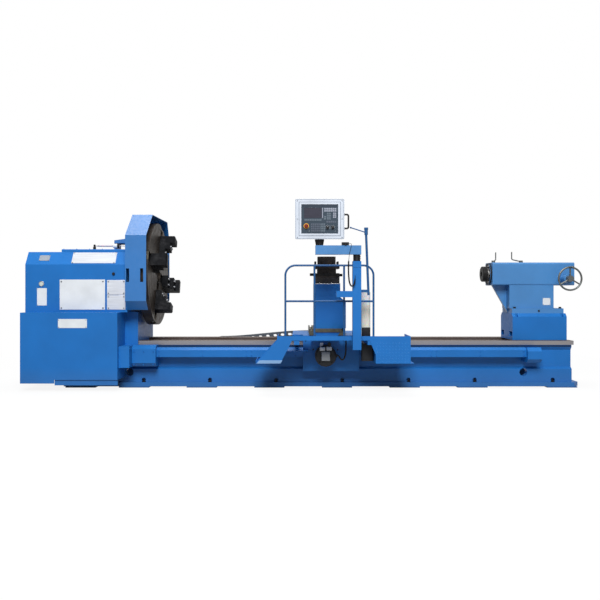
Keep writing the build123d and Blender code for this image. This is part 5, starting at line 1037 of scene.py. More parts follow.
    def lozenges(self, across: Span, up: Span, pitch: float, at: Matrix) -> "Stock":
        """Covers a field with raised lozenges, laid by turns.

        Args:
            across: Left and right ends of the field.
            up: Lower and upper ends of the field.
            pitch: Distance between lozenges.
            at: Where the field goes, with its face along +Z.

        Returns:
            This stock.
        """
        shape = bmesh.new()
        bmesh.ops.create_uvsphere(shape, u_segments=8, v_segments=4, radius=1.0)
        bmesh.ops.scale(shape, vec=LOZENGE, verts=shape.verts)
        columns, rows = (int((end - start) / pitch) + 1 for start, end in (across, up))
        moves = []
        for column in range(columns):
            for row in range(rows):
                spot = Matrix.Translation((across[0] + column * pitch, up[0] + row * pitch, 0.0))
                turn = LOZENGE_TURN if (column + row) % 2 else -LOZENGE_TURN
                moves.append(at @ spot @ Matrix.Rotation(turn, 4, "Z"))
        return self.take(shape, moves)

    def turn(self, move: Matrix) -> "Stock":
        """Moves everything in the stock."""
        bmesh.ops.transform(self.mesh, matrix=move, verts=self.mesh.verts)
        return self

    def add(self, other: "Stock") -> "Stock":
        """Takes over another stock."""
        return self.take(other.mesh)

    def loose(self, name: str, finish: Finish) -> bpy.types.Object:
        """Makes the stock an object that rides on nothing yet.

        Args:
            name: The piece's name.
            finish: Its finish.

        Returns:
            The new object.
        """
        data = bpy.data.meshes.new(name)
        bmesh.ops.translate(self.mesh, vec=DATUM.at(ORIGIN), verts=self.mesh.verts)
        self.mesh.to_mesh(data)
        self.mesh.free()
        data.shade_smooth()
        data.set_sharp_from_angle(angle=SHARP_ANGLE)
        data.materials.append(finish.material())
        piece = placed(name, data)
        return piece

    def done(self, name: str, finish: Finish, body: Body, replaces: Sequence[str] = ()) -> None:
        """Makes the stock a finished piece that rides on a body.

        Args:
            name: The piece's name.
            finish: Its finish.
            body: The group that it moves with.
            replaces: Solids that it stands for.
        """
        piece = self.loose(name, finish)
        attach(piece, body.value)
        if replaces:
            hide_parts(*replaces)
        LOG.info("%s: %d faces on %s", name, len(piece.data.polygons), body.value)


@dataclass(frozen=True)
class Fitting:
    """A small piece: its name, its finish and the group that it moves with."""

    name: str
    finish: Finish
    body: Body

    def shape(self) -> Stock:
        """The piece's shape; each kind of fitting has its own."""
        raise NotImplementedError

    def build(self) -> None:
        """Makes the piece."""
        self.shape().done(self.name, self.finish, self.body)


@dataclass(frozen=True)
class Turned(Fitting):
    """A fitting turned about one axis."""

    at: Point
    axis: Point
    profile: Profile
    sides: int = 32

    def shape(self) -> Stock:
        """The turned shape."""
        return Stock().turned(self.at, self.axis, self.profile, self.sides)


@dataclass(frozen=True)
class Block(Fitting):
    """A block with softened edges."""

    low: Point
    high: Point
    edge: float
    steps: int = 2

    def shape(self) -> Stock:
        """The block."""
        return Stock().block(self.low, self.high, self.edge, self.steps)


@dataclass(frozen=True)
class Screws(Fitting):
    """Equal screws on one face."""

    spots: tuple[Point, ...]
    axis: Point
    radius: float

    def shape(self) -> Stock:
        """The screws' heads."""
        return Stock().screws(self.spots, self.axis, self.radius)


@dataclass(frozen=True)
class Plate(Fitting):
    """A thin plate held by four screws on an upright front face."""

    x: Span
    z: Span
    face: float
    thick: float = 0.003
    screw: float = 0.0045
    inset: float = 0.012
    edge_share: float = 0.4

    def shape(self) -> Stock:
        """The bare plate."""
        low, high = (self.x[0], self.face - self.thick, self.z[0]), (self.x[1], self.face, self.z[1])
        return Stock().block(low, high, self.thick * self.edge_share)

    def build(self) -> None:
        """Makes the plate and its corner screws."""
        super().build()
        across, up = ((ends[0] + self.inset, ends[1] - self.inset) for ends in (self.x, self.z))
        corners = grid(across, (self.face - self.thick,), up)
        Screws(f"{self.name}_screws", SCREW, self.body, corners, FACING_FRONT, self.screw).build()


def reckon(tree: bpy.types.NodeTree, operation: str, first: Socket, second: Socket | float) -> Socket:
    """One step of arithmetic in a node tree.

    Args:
        tree: The tree.
        operation: What is done.
        first: The first value.
        second: The second value, or a constant.

    Returns:
        The result.
    """
    node = tree.nodes.new("ShaderNodeMath")
    node.operation = operation
    tree.links.new(first, node.inputs[0])
    if isinstance(second, float):
        node.inputs[1].default_value = second
    else:
        tree.links.new(second, node.inputs[1])
    return node.outputs[0]


def mix_shaders(tree: bpy.types.NodeTree, share: Socket, first: bpy.types.Node, second: bpy.types.Node,
                end: str) -> None:
    """Mixes two shaders into the surface of a tree.

    Args:
        tree: The tree.
        share: How much of the second shader shows.
        first: The first shader.
        second: The second shader.
        end: Name of the tree's output node.
    """
    mix = tree.nodes.new("ShaderNodeMixShader")
    tree.links.new(share, mix.inputs["Fac"])
    tree.links.new(first.outputs[0], mix.inputs[1])
    tree.links.new(second.outputs[0], mix.inputs[2])
    tree.links.new(mix.outputs[0], tree.nodes[end].inputs["Surface"])


@dataclass(frozen=True)
class Lamp:
    """One soft square lamp."""

    name: str
    at: Point
    towards: Point
    size: float
    watts: float

    def build(self) -> None:
        """Hangs the lamp."""
        data = bpy.data.lights.new(self.name, "AREA")
        data.shape = "SQUARE"
        data.size = self.size
        data.energy = self.watts
        lamp = placed(self.name, data)
        lamp.location = DATUM.at(self.at)
        lamp.rotation_euler = (Vector(self.towards) - Vector(self.at)).to_track_quat("-Z", "Y").to_euler()


@dataclass
class Studio:
    """The camera, a pale floor and soft light."""

    eye: Point = (1.756, -8.49, 1.141)
    focal_px: float = 683.0
    horizon_px: float = 291.0
    image_px: float = 600.0
    sensor: float = 36.0
    view_end: float = 200.0
    lamps: tuple[Lamp, ...] = (
        Lamp("front_light", (1.8, -12.0, 10.2), (1.8, 0.0, 1.0), 6.0, 2300.0),
        Lamp("top_light", (1.2, 1.5, 10.5), (1.6, -0.1, 0.8), 8.0, 700.0),
    )
    sky: Rgba = (0.96, 0.98, 1.0, 1.0)
    sky_strength: float = 0.16
    white: Rgba = (1.0, 1.0, 1.0, 1.0)
    gloss_share: float = 0.55
    floor_half: float = 60.0
    floor_scale: float = 0.8
    floor_greys: tuple[Rgba, Rgba] = ((0.28, 0.28, 0.28, 1.0), (0.32, 0.32, 0.32, 1.0))
    floor_white: Rgba = (0.94, 0.94, 0.94, 1.0)
    floor_roughness: float = 0.9
    fade_reach: Span = (3.2, 6.5)
    fade_share: Span = (0.88, 1.0)

    def build(self) -> None:
        """Sets the view, the world, the floor and the lamps."""
        scene = bpy.context.scene
        scene.view_settings.view_transform = "Standard"
        self.camera(scene)
        self.world(scene)
        self.floor()
        for lamp in self.lamps:
            lamp.build()

    def camera(self, scene: bpy.types.Scene) -> None:
        """Places the level camera in front of the carriage.

        Args:
            scene: The scene that it looks at.
        """
        data = bpy.data.cameras.new("camera")
        data.sensor_fit = "HORIZONTAL"
        data.sensor_width = self.sensor
        data.lens = self.focal_px / self.image_px * self.sensor
        data.shift_y = (self.horizon_px - self.image_px / 2) / self.image_px
        data.clip_end = self.view_end
        camera = placed("camera", data)
        camera.location = DATUM.at(self.eye)
        camera.rotation_euler = (math.radians(90), 0.0, 0.0)
        scene.camera = camera

    def seen(self, tree: bpy.types.NodeTree) -> Socket:
        """How much a ray comes from the camera, a glass or, in part, a gloss, for the white surroundings.

        Args:
            tree: The node tree that asks.

        Returns:
            The share from 0 to 1.
        """
        rays = tree.nodes.new("ShaderNodeLightPath").outputs
        gloss = reckon(tree, "MULTIPLY", rays["Is Glossy Ray"], self.gloss_share)
        direct = reckon(tree, "MAXIMUM", rays["Is Camera Ray"], gloss)
        return reckon(tree, "MAXIMUM", direct, rays["Is Transmission Ray"])

    def world(self, scene: bpy.types.Scene) -> None:
        """Makes the surroundings white to the eye and dimmer as light.

        Args:
            scene: The scene that they surround.
        """
        scene.world = bpy.data.worlds.new("studio")
        scene.world.use_nodes = True
        tree = scene.world.node_tree
        light = fill(tree.nodes["Background"], Color=self.sky, Strength=self.sky_strength)
        white = fill(tree.nodes.new("ShaderNodeBackground"), Color=self.white)
        mix_shaders(tree, self.seen(tree), light, white, "World Output")

    def floor(self) -> None:
        """Lays a pale floor that keeps a light shadow and fades to white away from the machine."""
        shape = bmesh.new()
        bmesh.ops.create_grid(shape, x_segments=1, y_segments=1, size=self.floor_half)
        data = bpy.data.meshes.new("floor")
        shape.to_mesh(data)
        shape.free()
        shader = Shader("pale_floor")
        grey = shader.ramp(shader.noise(self.floor_scale), *zip(NOISE_SPAN, self.floor_greys))
        shader.join(shader.blend(self.seen(shader.tree), grey, self.floor_white), "Base Color")
        fill(shader.surface, Roughness=self.floor_roughness, Specular_IOR_Level=0.0)
        fade = shader.span(shader.reach((1.0, 1.0, 0.0), ORIGIN), self.fade_reach, self.fade_share)
        share = reckon(shader.tree, "MULTIPLY", self.seen(shader.tree), fade)
        mix_shaders(shader.tree, share, shader.surface, shader.node("Emission"), "Material Output")
        data.materials.append(shader.material)
        floor = placed("floor", data)


@dataclass
class Cords:
    """The curly cord of the pulse unit and the servo's cable."""

    pulse_route: tuple[Point, ...] = (
        (2.2813, -1.1515, 1.650), (2.301, -1.1515, 1.650), (2.307, -1.191, 1.644), (2.299, -1.200, 1.602),
        (2.284, -1.200, 1.542), (2.276, -1.201, 1.470), (2.273, -1.203, 1.395), (2.274, -1.206, 1.320),
        (2.279, -1.209, 1.252), (2.292, -1.211, 1.203), (2.313, -1.212, 1.188), (2.334, -1.211, 1.210),
        (2.343, -1.209, 1.258), (2.346, -1.206, 1.306), (2.346, -1.1813, 1.306),
    )
    servo_route: tuple[Point, ...] = (
        (2.1803, -0.719, 0.405), (2.200, -0.719, 0.405), (2.211, -0.719, 0.375), (2.232, -0.719, 0.355),
        (2.258, -0.719, 0.369), (2.272, -0.718, 0.411), (2.277, -0.717, 0.45475), (2.279, -0.716, 0.5045),
        (2.279, -0.715, 0.55425), (2.278, -0.715, 0.6037),
    )
    line_smooth: int = 40
    wire_radius: float = 0.0026
    curl_radius: float = 0.0072
    curl_pitch: float = 0.0058
    curl_parts: int = 8
    curl_from: float = 0.34
    curl_to: float = 0.93
    curl_ease: float = 0.03
    servo_radius: float = 0.009

    def build(self) -> None:
        """Makes both cords."""
        self.pulse_cord()
        self.servo_cable()

    def swept(self, points: Sequence[Point], radius: float, smooth: int,
              roundness: int = 0) -> bpy.types.Mesh:
        """The mesh of one open NURBS spline.

        Args:
            points: Its control points in the shared frame.
            radius: Its half thickness, or 0 for a bare line.
            smooth: Points drawn between control points.
            roundness: Steps in a quarter of its section.

        Returns:
            The tube's or the line's mesh.
        """
        data = bpy.data.curves.new("guide", "CURVE")
        data.dimensions = "3D"
        data.resolution_u = smooth
        data.bevel_depth = radius
        data.bevel_resolution = roundness
        data.use_fill_caps = True
        line = data.splines.new("NURBS")
        line.points.add(len(points) - 1)
        for spot, point in zip(line.points, points):
            spot.co = (*point, 1.0)
        line.order_u = 3
        line.use_endpoint_u = True
        guide = placed("guide", data)
        bpy.context.view_layer.update()
        mesh = bpy.data.meshes.new_from_object(guide)
        bpy.data.objects.remove(guide)
        bpy.data.curves.remove(data)
        return mesh

    def line_of(self, points: Sequence[Point]) -> list[Vector]:
        """Points read along a route's own smooth spline.

        Args:
            points: The route's control points in the shared frame.

        Returns:
            The points in order.
        """
        mesh = self.swept(points, 0.0, self.line_smooth)
        line = [vertex.co.copy() for vertex in mesh.vertices]
        bpy.data.meshes.remove(mesh)
        return line

    def pulse_cord(self) -> None:
        """Winds the curly cord along its hanging loop, straight at both ends."""
        line = self.line_of([tuple(DATUM.at(point)) for point in self.pulse_route])
        steps = [(b - a).length for a, b in zip(line, line[1:])]
        total = sum(steps)
        gone = 0.0
        turn = 0.0
        side = Vector(FACING_RIGHT)
        points: list[Point] = []
        for spot, ahead, step in zip(line, line[1:], steps):
            along = (ahead - spot).normalized()
            side = (side - along * side.dot(along)).normalized()
            count = max(1, round(step / (self.curl_pitch / self.curl_parts)))
            for part in range(count):
                share = (gone + step * part / count) / total
                inside = min(share - self.curl_from, self.curl_to - share)
                ease = min(1.0, max(0.0, inside / self.curl_ease))
                if ease == 0.0 and part:
                    continue
                turn += math.tau * step / count / self.curl_pitch if ease else 0.0
                out = Matrix.Rotation(turn, 3, along) @ side * self.curl_radius * ease
                points.append(tuple(spot + (ahead - spot) * part / count + out))
            gone += step
        points.append(tuple(line[-1]))
        cord = placed("curly_cord", self.swept(points, self.wire_radius, smooth=2, roundness=1))
        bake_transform(cord)
        self.finish(cord, "pulse_cord", points, 2 * self.wire_radius, "limp")

    def servo_cable(self) -> None:
        """Hangs the servo's cable between its socket and the deck."""
        points = [tuple(DATUM.at(point)) for point in self.servo_route]
        cable = placed("servo_lead", self.swept(points, self.servo_radius, smooth=12, roundness=3))
        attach(cable, Body.CARRIAGE.value)
        line = [tuple(point) for point in self.line_of(points)]
        self.finish(cable, "servo_cable", line, 2 * self.servo_radius, "medium")

    def finish(self, cord: bpy.types.Object, node: str, line: Sequence[Point], diameter: float,
               stiffness: str) -> None:
        """Gives a cord its finish and facts.

        Args:
            cord: The cord's tube.
            node: The solid that it stands for.
            line: The points that the tube follows; not used.
            diameter: Its thickness; not used.
            stiffness: How it bends; not used.
        """
        cord.data.shade_smooth()
        cord.data.materials.append(CORD.material())
        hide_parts(node)


@dataclass
class Headstock:
    """Plates, covers, sight glass, knob, lid screws and oil line of the headstock."""

    front: float = -0.590
    slope_foot: float = 1.448
    slope_lean: float = 2 / 3
    slope_plate: float = 0.004
    slope_edge: float = 0.001
    slope_inset: float = 2.5
    cabinet_front: float = -0.740
    lid_top: float = 1.631
    lid_rows: Span = (-0.472, 0.452)
    lid_x: Span = (-1.015, -0.262)
    lid_steps: int = 5
    lid_screw: float = 0.005
    post_x: float = -0.677
    guard_x: float = -0.240
    pipe_y: float = -0.400
    pipe_z: float = 1.674
    pipe_radius: float = 0.005
    nut_x: Span = (-0.640, -0.262)
    nut_long: float = 0.016
    nut_radius: float = 0.0095
    post_tall: float = pipe_z - lid_top
    sight_at: Point = (-1.233, front, 1.225)
    sloped: tuple[tuple[str, Finish, Span, Span, float], ...] = (
        ("control_plate", PLATE, (-0.893, -0.382), (1.462, 1.590), 0.006),
        ("corner_plate", GREY_PLATE, (-1.275, -1.155), (1.492, 1.556), 0.0035),
    )
    plates: tuple[Plate, ...] = (
        Plate("front_cover", WHITE, Body.FRAME, (-1.022, -0.497), (0.925, 1.273), front, 0.008, 0.008, 0.022),
        Plate("lower_side_cover", COVER_STEEL, Body.FRAME, (-0.476, -0.262), (0.925, 1.093), front, 0.006,
              0.007, 0.018),
        Plate("upper_side_cover", COVER_STEEL, Body.FRAME, (-0.476, -0.262), (1.097, 1.268), front, 0.006,
              0.007, 0.018),
        Plate("blank_plate", WHITE, Body.FRAME, (-1.285, -1.172), (0.973, 1.174), front, inset=0.008,
              screw=0.003),
        Plate("cabinet_plate", WHITE, Body.FRAME, (-0.990, -0.661), (0.721, 0.823), cabinet_front,
              inset=0.010),
    )
    fittings: tuple[Turned, ...] = (
        Turned("sight_ring", BRIGHT, Body.FRAME, sight_at, FACING_FRONT, (
            (0.023, 0.0), (0.031, 0.0), (0.031, 0.007), (0.028, 0.011), (0.023, 0.011), (0.023, 0.0))),
        Turned("sight_lens", OIL_GLASS, Body.FRAME, sight_at, FACING_FRONT, (
            (0.0, 0.008), (0.014, 0.0075), (0.0232, 0.005), (0.0232, 0.0005), (0.0, 0.0005))),
        Turned("side_knob", PLASTIC, Body.FRAME, (-0.399, front, 1.341), FACING_FRONT, (
            (0.0, 0.022), (0.011, 0.022), (0.016, 0.018), (0.017, 0.009), (0.010, 0.005), (0.011, 0.0),
            (0.0, 0.0))),
        Turned("oil_post", PLASTIC, Body.FRAME, (post_x, pipe_y, lid_top), FACING_UP, (
            (0.0, 0.0), (0.017, 0.0), (0.017, post_tall - 0.014), (0.0125, post_tall - 0.010),
            (0.0125, post_tall + 0.012), (0.009, post_tall + 0.017), (0.0, post_tall + 0.017))),
        Turned("oil_hose", MILKY_CLEAR, Body.FRAME, (-0.620, pipe_y, pipe_z), FACING_RIGHT, (
            (0.0048, 0.0), (0.0095, 0.0), (0.0105, 0.002), (0.0105, 0.158), (0.0095, 0.160), (0.0048, 0.160),
            (0.0048, 0.0)), 24),
        Turned("oil_cup", WHITE, Body.FRAME, (-0.456, pipe_y, pipe_z), FACING_RIGHT, (
            (0.0, 0.0), (0.020, 0.0), (0.026, 0.005), (0.027, 0.012), (0.027, 0.051), (0.0, 0.051))),
        Turned("oil_nut", PLASTIC, Body.FRAME, (-0.405, pipe_y, pipe_z), FACING_RIGHT, (
            (0.0, 0.0), (0.0265, 0.0), (0.0265, 0.014), (0.020, 0.019), (0.0, 0.019)), 20),
    )

    def build(self) -> None:
        """Makes every piece of the headstock."""
        for plate in self.sloped:
            self.sloped_plate(*plate)
        for fitting in self.plates + self.fittings:
            fitting.build()
        self.lid_screws()
        self.oil_line()

    def sloped_plate(self, name: str, finish: Finish, x: Span, z: Span, screw: float) -> None:
        """Lays a bare plate on the sloped face.

        Args:
            name: The plate's name.
            finish: Its finish.
            x: Its left and right ends.
            z: Its lower and upper edges.
            screw: Radius of its corner screws.
        """
        lean = [self.front + (level - self.slope_foot) * self.slope_lean for level in z]
        out = Vector((0.0, -1.0, self.slope_lean)).normalized()
        outline = [(x[0], lean[0], z[0]), (x[1], lean[0], z[0]), (x[1], lean[1], z[1]), (x[0], lean[1], z[1])]
        lift = out * self.slope_plate
        Stock().slab(outline, lift, self.slope_edge).done(name, finish, Body.FRAME)
        corners = [Vector(corner) for corner in outline]
        middle = sum(corners, Vector()) / len(corners)
        inward = [spot.lerp(middle, self.slope_inset * screw / (spot - middle).length) for spot in corners]
        Stock().screws([spot + lift for spot in inward], out, screw).done(f"{name}_screws", SCREW, Body.FRAME)

    def lid_screws(self) -> None:
        """Screws the lid down along both sides."""
        step = (self.lid_x[1] - self.lid_x[0]) / self.lid_steps
        places = [self.lid_x[0] + step * number for number in range(self.lid_steps + 1)]
        spots = grid(places, self.lid_rows, (self.lid_top,))
        Stock().screws(spots, FACING_UP, self.lid_screw).done("lid_screws", PAINT, Body.FRAME)

    def oil_line(self) -> None:
        """Runs the oil line from its post to the guard, with a nut near each end."""
        y, z = self.pipe_y, self.pipe_z
        line = Stock().bar((self.post_x, y, z), (self.guard_x, y, z), self.pipe_radius)
        for x in self.nut_x:
            line.bar((x, y, z), (x + self.nut_long, y, z), self.nut_radius, sides=Head.HEX.value)
        line.done("oil_line", BRIGHT, Body.FRAME, ["oil_pipe"])


@dataclass
class Chuck:
    """Screws of the four jaws, and the screw ends and their blocks in the faceplate's slots."""

    bodies: tuple[Body, ...] = (Body.JAW_1, Body.JAW_2, Body.JAW_3, Body.JAW_4)
    first_turn: float = -20.0
    # Distance from the axis and height over the faceplate, for each step of a jaw.
    steps: Pairs = ((0.275, 0.070), (0.355, 0.130))
    screw_reach: float = 0.038
    screw_radius: float = 0.013
    block_low: Point = (-0.057, -0.056, 0.588)
    block_high: Point = (-0.002, 0.056, 0.612)
    block_edge: float = 0.003
    end_at: Point = (-0.030, 0.0, 0.612)
    end_radius: float = 0.012

    def build(self) -> None:
        """Dresses each jaw and its slot."""
        ends = Stock()
        blocks = Stock()
        for number, body in enumerate(self.bodies):
            angle = math.radians(self.first_turn + 90 * number)
            turn = Matrix.Translation((0.0, 0.0, AXIS_HEIGHT)) @ Matrix.Rotation(angle, 4, "X")
            screws = Stock()
            for radius, face in self.steps:
                spots = grid((face,), (-self.screw_reach, self.screw_reach), (radius,))
                screws.screws(spots, FACING_RIGHT, self.screw_radius)
            screws.turn(turn).done(f"{body.value}_screws", SCREW, body)
            blocks.add(Stock().block(self.block_low, self.block_high, self.block_edge).turn(turn))
            ends.add(Stock().screw(self.end_at, FACING_UP, self.end_radius, Head.SQUARE).turn(turn))
        blocks.done("slot_blocks", CAST, Body.SPINDLE)
        ends.done("screw_ends", SCREW, Body.SPINDLE)


@dataclass
class Bed:
    """Anchor nuts of the bed, a dark strip of painted shade under the front way, and screws and end plate of
    the feed screw's covers.
    """

    anchors: tuple[float, ...] = (-0.097, 0.688, 1.473, 2.258, 3.043, 3.828, 4.755)
    anchor_rows: Span = (-0.384, 0.384)
    flange_top: float = 0.063
    nut_radius: float = 0.0155
    stud_ends: Span = (0.010, 0.030)
    stud_radii: Span = (0.009, 0.008)
    stud_sides: int = 12
    cover_x: Span = (0.078, 4.404)
    cover_front: float = -0.500
    cover_z: Span = (0.384, 0.434)
    cover_count: int = 4
    cover_inset: float = 0.030
    cover_screw: float = 0.006
    end_low: Point = (-0.2015, -0.6775, 0.2645)
    end_high: Point = (-0.1985, -0.5300, 0.5055)
    end_edge: float = 0.0008
    end_spots: tuple[Point, ...] = grid((-0.1985,), (-0.662,), (0.290, 0.385, 0.480))
    end_screw: float = 0.006
    fittings: tuple[Fitting, ...] = (
        Screws("gearbox_screws", PAINT, Body.FRAME, grid((-0.170, -0.060, 0.052), (-0.560,), (0.290, 0.440)),
               FACING_FRONT, 0.008),
        # A thin dark strip on the bed's lip under the front way: painted shade.
        Block("way_shade_strip", PAINT_SHADE_STRIP, Body.FRAME, (-0.155, -0.3790, 0.4770), (4.978, -0.3775, 0.5010),
              0.0006),
    )

    def build(self) -> None:
        """Makes the nuts, the screws, the end plate and a dark strip of painted shade under the front way."""
        self.anchor_nuts()
        self.cover_screws()
        self.cover_end()
        for fitting in self.fittings:
            fitting.build()

    def anchor_nuts(self) -> None:
        """Puts a nut, washer and stud in each pocket."""
        nuts = Stock()
        for x, y, z in grid(self.anchors, self.anchor_rows, (self.flange_top,)):
            nuts.screw((x, y, z), FACING_UP, self.nut_radius, Head.HEX, washer=True)
            foot, top = ((x, y, z + rise) for rise in self.stud_ends)
            nuts.bar(foot, top, *self.stud_radii, self.stud_sides)
        nuts.done("anchor_nuts", OXIDE, Body.FRAME)

    def cover_screws(self) -> None:
        """Screws each length of the cover at its ends and its middle."""
        span = (self.cover_x[1] - self.cover_x[0]) / self.cover_count
        places: list[float] = []
        for number in range(self.cover_count):
            left = self.cover_x[0] + number * span
            places += [left + self.cover_inset, left + span / 2, left + span - self.cover_inset]
        spots = grid(places, (self.cover_front,), self.cover_z)
        Stock().screws(spots, FACING_FRONT, self.cover_screw).done("cover_screws", PAINT, Body.FRAME)

    def cover_end(self) -> None:
        """Closes the end of the motor cover beside the gearbox."""
        end = Stock().block(self.end_low, self.end_high, self.end_edge)
        end.screws(self.end_spots, FACING_RIGHT, self.end_screw).done("servo_cover_end", PAINT, Body.FRAME)


@dataclass
class Carriage:
    """Screws, wipers, and the fittings of the cross motor, the oil tank and the pump on the carriage."""

    box_spots: tuple[Point, ...] = grid((1.907, 2.187), (-0.640,), (0.467, 0.607))
    box_screw: float = 0.008
    wing_spots: tuple[Point, ...] = grid((1.822, 2.262, 2.336, 2.410), (-0.560,), (0.572,))
    wing_screw: float = 0.010
    motor_x: float = 2.047
    motor_z: float = 0.405
    motor_front: float = -0.770
    fin_count: int = 5
    fin_start: float = 0.018
    fin_pitch: float = 0.022
    fin_sides: int = 48
    fin: Profile = ((0.117, -0.004), (0.1212, -0.004), (0.1212, 0.004), (0.117, 0.004), (0.117, -0.004))
    terminal_spots: Pairs = ((2.009, 0.486), (2.085, 0.490))
    terminal_half: Span = (0.030, 0.021)
    terminal_rise: float = 0.014
    terminal_sunk: float = 0.001
    terminal_edge: float = 0.004
    lock_ring: Profile = ((0.0, 0.022), (0.012, 0.022), (0.016, 0.018), (0.016, 0.0), (0.0, 0.0))
    lock_sides: int = 12
    # Place of each end and the way that it faces.
    saddle_ends: Pairs = ((1.666, -1.0), (2.566, 1.0))
    way_rows: Span = (-0.311, 0.311)
    wiper_thick: float = 0.008
    wiper_half: float = 0.093
    wiper_z: Span = (0.5506, 0.592)
    wiper_edge: float = 0.0015
    wiper_screw: float = 0.006
    wiper_screw_z: float = 0.578
    wiper_screw_y: tuple[float, ...] = (-0.070, 0.0, 0.070)
    pump_low: Point = (2.453, -0.9135, 0.378)
    pump_high: Point = (2.561, -0.909, 0.542)
    pump_edge: float = 0.002
    pump_spots: tuple[Point, ...] = grid((2.462, 2.552), (-0.9135,), (0.387, 0.533))
    pump_screw: float = 0.004
    fittings: tuple[Fitting, ...] = (
        Block("motor_cap", MOTOR_CAP, Body.CARRIAGE, (motor_x - 0.049, -0.8035, motor_z - 0.053),
              (motor_x + 0.049, -0.7695, motor_z + 0.053), 0.010, 3),
        Screws("motor_bolts", OXIDE, Body.CARRIAGE,
               grid(about(motor_x, -0.067, 0.067), (motor_front,), about(motor_z, -0.067, 0.067)),
               FACING_FRONT, 0.009),
        Block("motor_plug", WHITE, Body.CARRIAGE, (1.983, -0.739, 0.508), (2.021, -0.699, 0.5525), 0.004),
        Turned("motor_gland", PLASTIC, Body.CARRIAGE, (2.089, -0.719, 0.520), FACING_UP, (
            (0.0, 0.0), (0.021, 0.0), (0.021, 0.020), (0.0165, 0.022), (0.0165, 0.032), (0.011, 0.036),
            (0.0, 0.036)), 6),
        Block("tank_foot", PLASTIC, Body.CARRIAGE, (2.4372, -0.9068, 0.610), (2.5388, -0.7932, 0.7395),
              0.006, 3),
        Turned("tank_cap", PLASTIC, Body.CARRIAGE, (2.488, -0.850, 1.130), FACING_UP, (
            (0.0, 0.0195), (0.019, 0.0195), (0.0255, 0.016), (0.0255, 0.0), (0.0, 0.0)), 24),
    )

    def build(self) -> None:
        """Makes every piece of the carriage."""
        self.box_screws()
        self.motor_fins()
        self.terminals()
        self.wipers()
        self.pump_cover()
        for fitting in self.fittings:
            fitting.build()

    def box_screws(self) -> None:
        """Screws the belt box and the wing behind it."""
        screws = Stock().screws(self.box_spots, FACING_FRONT, self.box_screw)
        screws.screws(self.wing_spots, FACING_FRONT, self.wing_screw).done("box_screws", OXIDE, Body.CARRIAGE)

    def motor_fins(self) -> None:
        """Rings the cross motor with cooling fins."""
        fins = Stock()
        for number in range(self.fin_count):
            y = self.motor_front + self.fin_start + self.fin_pitch * number
            fins.turned((self.motor_x, y, self.motor_z), FACING_FRONT, self.fin, self.fin_sides)
        fins.done("motor_fins", MOTOR, Body.CARRIAGE)

    def terminals(self) -> None:
        """Sets two pale connectors with their lock rings over the cross motor's end cap."""
        wide, tall = self.terminal_half
        front, back = self.motor_front - self.terminal_rise, self.motor_front + self.terminal_sunk
        pair = Stock()
        for x, z in self.terminal_spots:
            pair.block((x - wide, front, z - tall), (x + wide, back, z + tall), self.terminal_edge)
            pair.turned((x, front, z), FACING_FRONT, self.lock_ring, self.lock_sides)
        pair.done("motor_terminals", WHITE, Body.CARRIAGE)

    def wipers(self) -> None:
        """Puts a black wiper over each way at both ends of the saddle."""
        strips = Stock()
        screws = Stock()
        for x, out in self.saddle_ends:
            face = x + out * self.wiper_thick
            near, far = sorted((x, face))
            for y in self.way_rows:
                low = (near, y - self.wiper_half, self.wiper_z[0])
                high = (far, y + self.wiper_half, self.wiper_z[1])
                strips.block(low, high, self.wiper_edge)
                spots = grid((face,), about(y, *self.wiper_screw_y), (self.wiper_screw_z,))
                screws.screws(spots, (out, 0.0, 0.0), self.wiper_screw)
        strips.done("way_wipers", RUBBER, Body.CARRIAGE)
        screws.done("wiper_screws", SCREW, Body.CARRIAGE)

    def pump_cover(self) -> None:
        """Gives the pump box its screwed front cover."""
        cover = Stock().block(self.pump_low, self.pump_high, self.pump_edge)
        cover.screws(self.pump_spots, FACING_FRONT, self.pump_screw).done("pump_cover", MOTOR, Body.CARRIAGE)


@dataclass
class ToolPost:
    """Bright seat and base bolts of the turret."""

    centre_x: float = 2.072
    centre_y: float = -0.300
    base_top: float = 1.298
    fittings: tuple[Fitting, ...] = (
        Block("turret_seat", BRIGHT, Body.CROSS, (1.9165, -0.4515, 1.2225), (2.2315, -0.1485, 1.2305), 0.002),
        Screws("base_bolts", OXIDE, Body.CROSS,
               grid(about(centre_x, -0.128, 0.128), about(centre_y, -0.128, 0.128), (base_top,)),
               FACING_UP, 0.009),
    )

    def build(self) -> None:
        """Makes the seat strip and the base bolts."""
        for fitting in self.fittings:
            fitting.build()


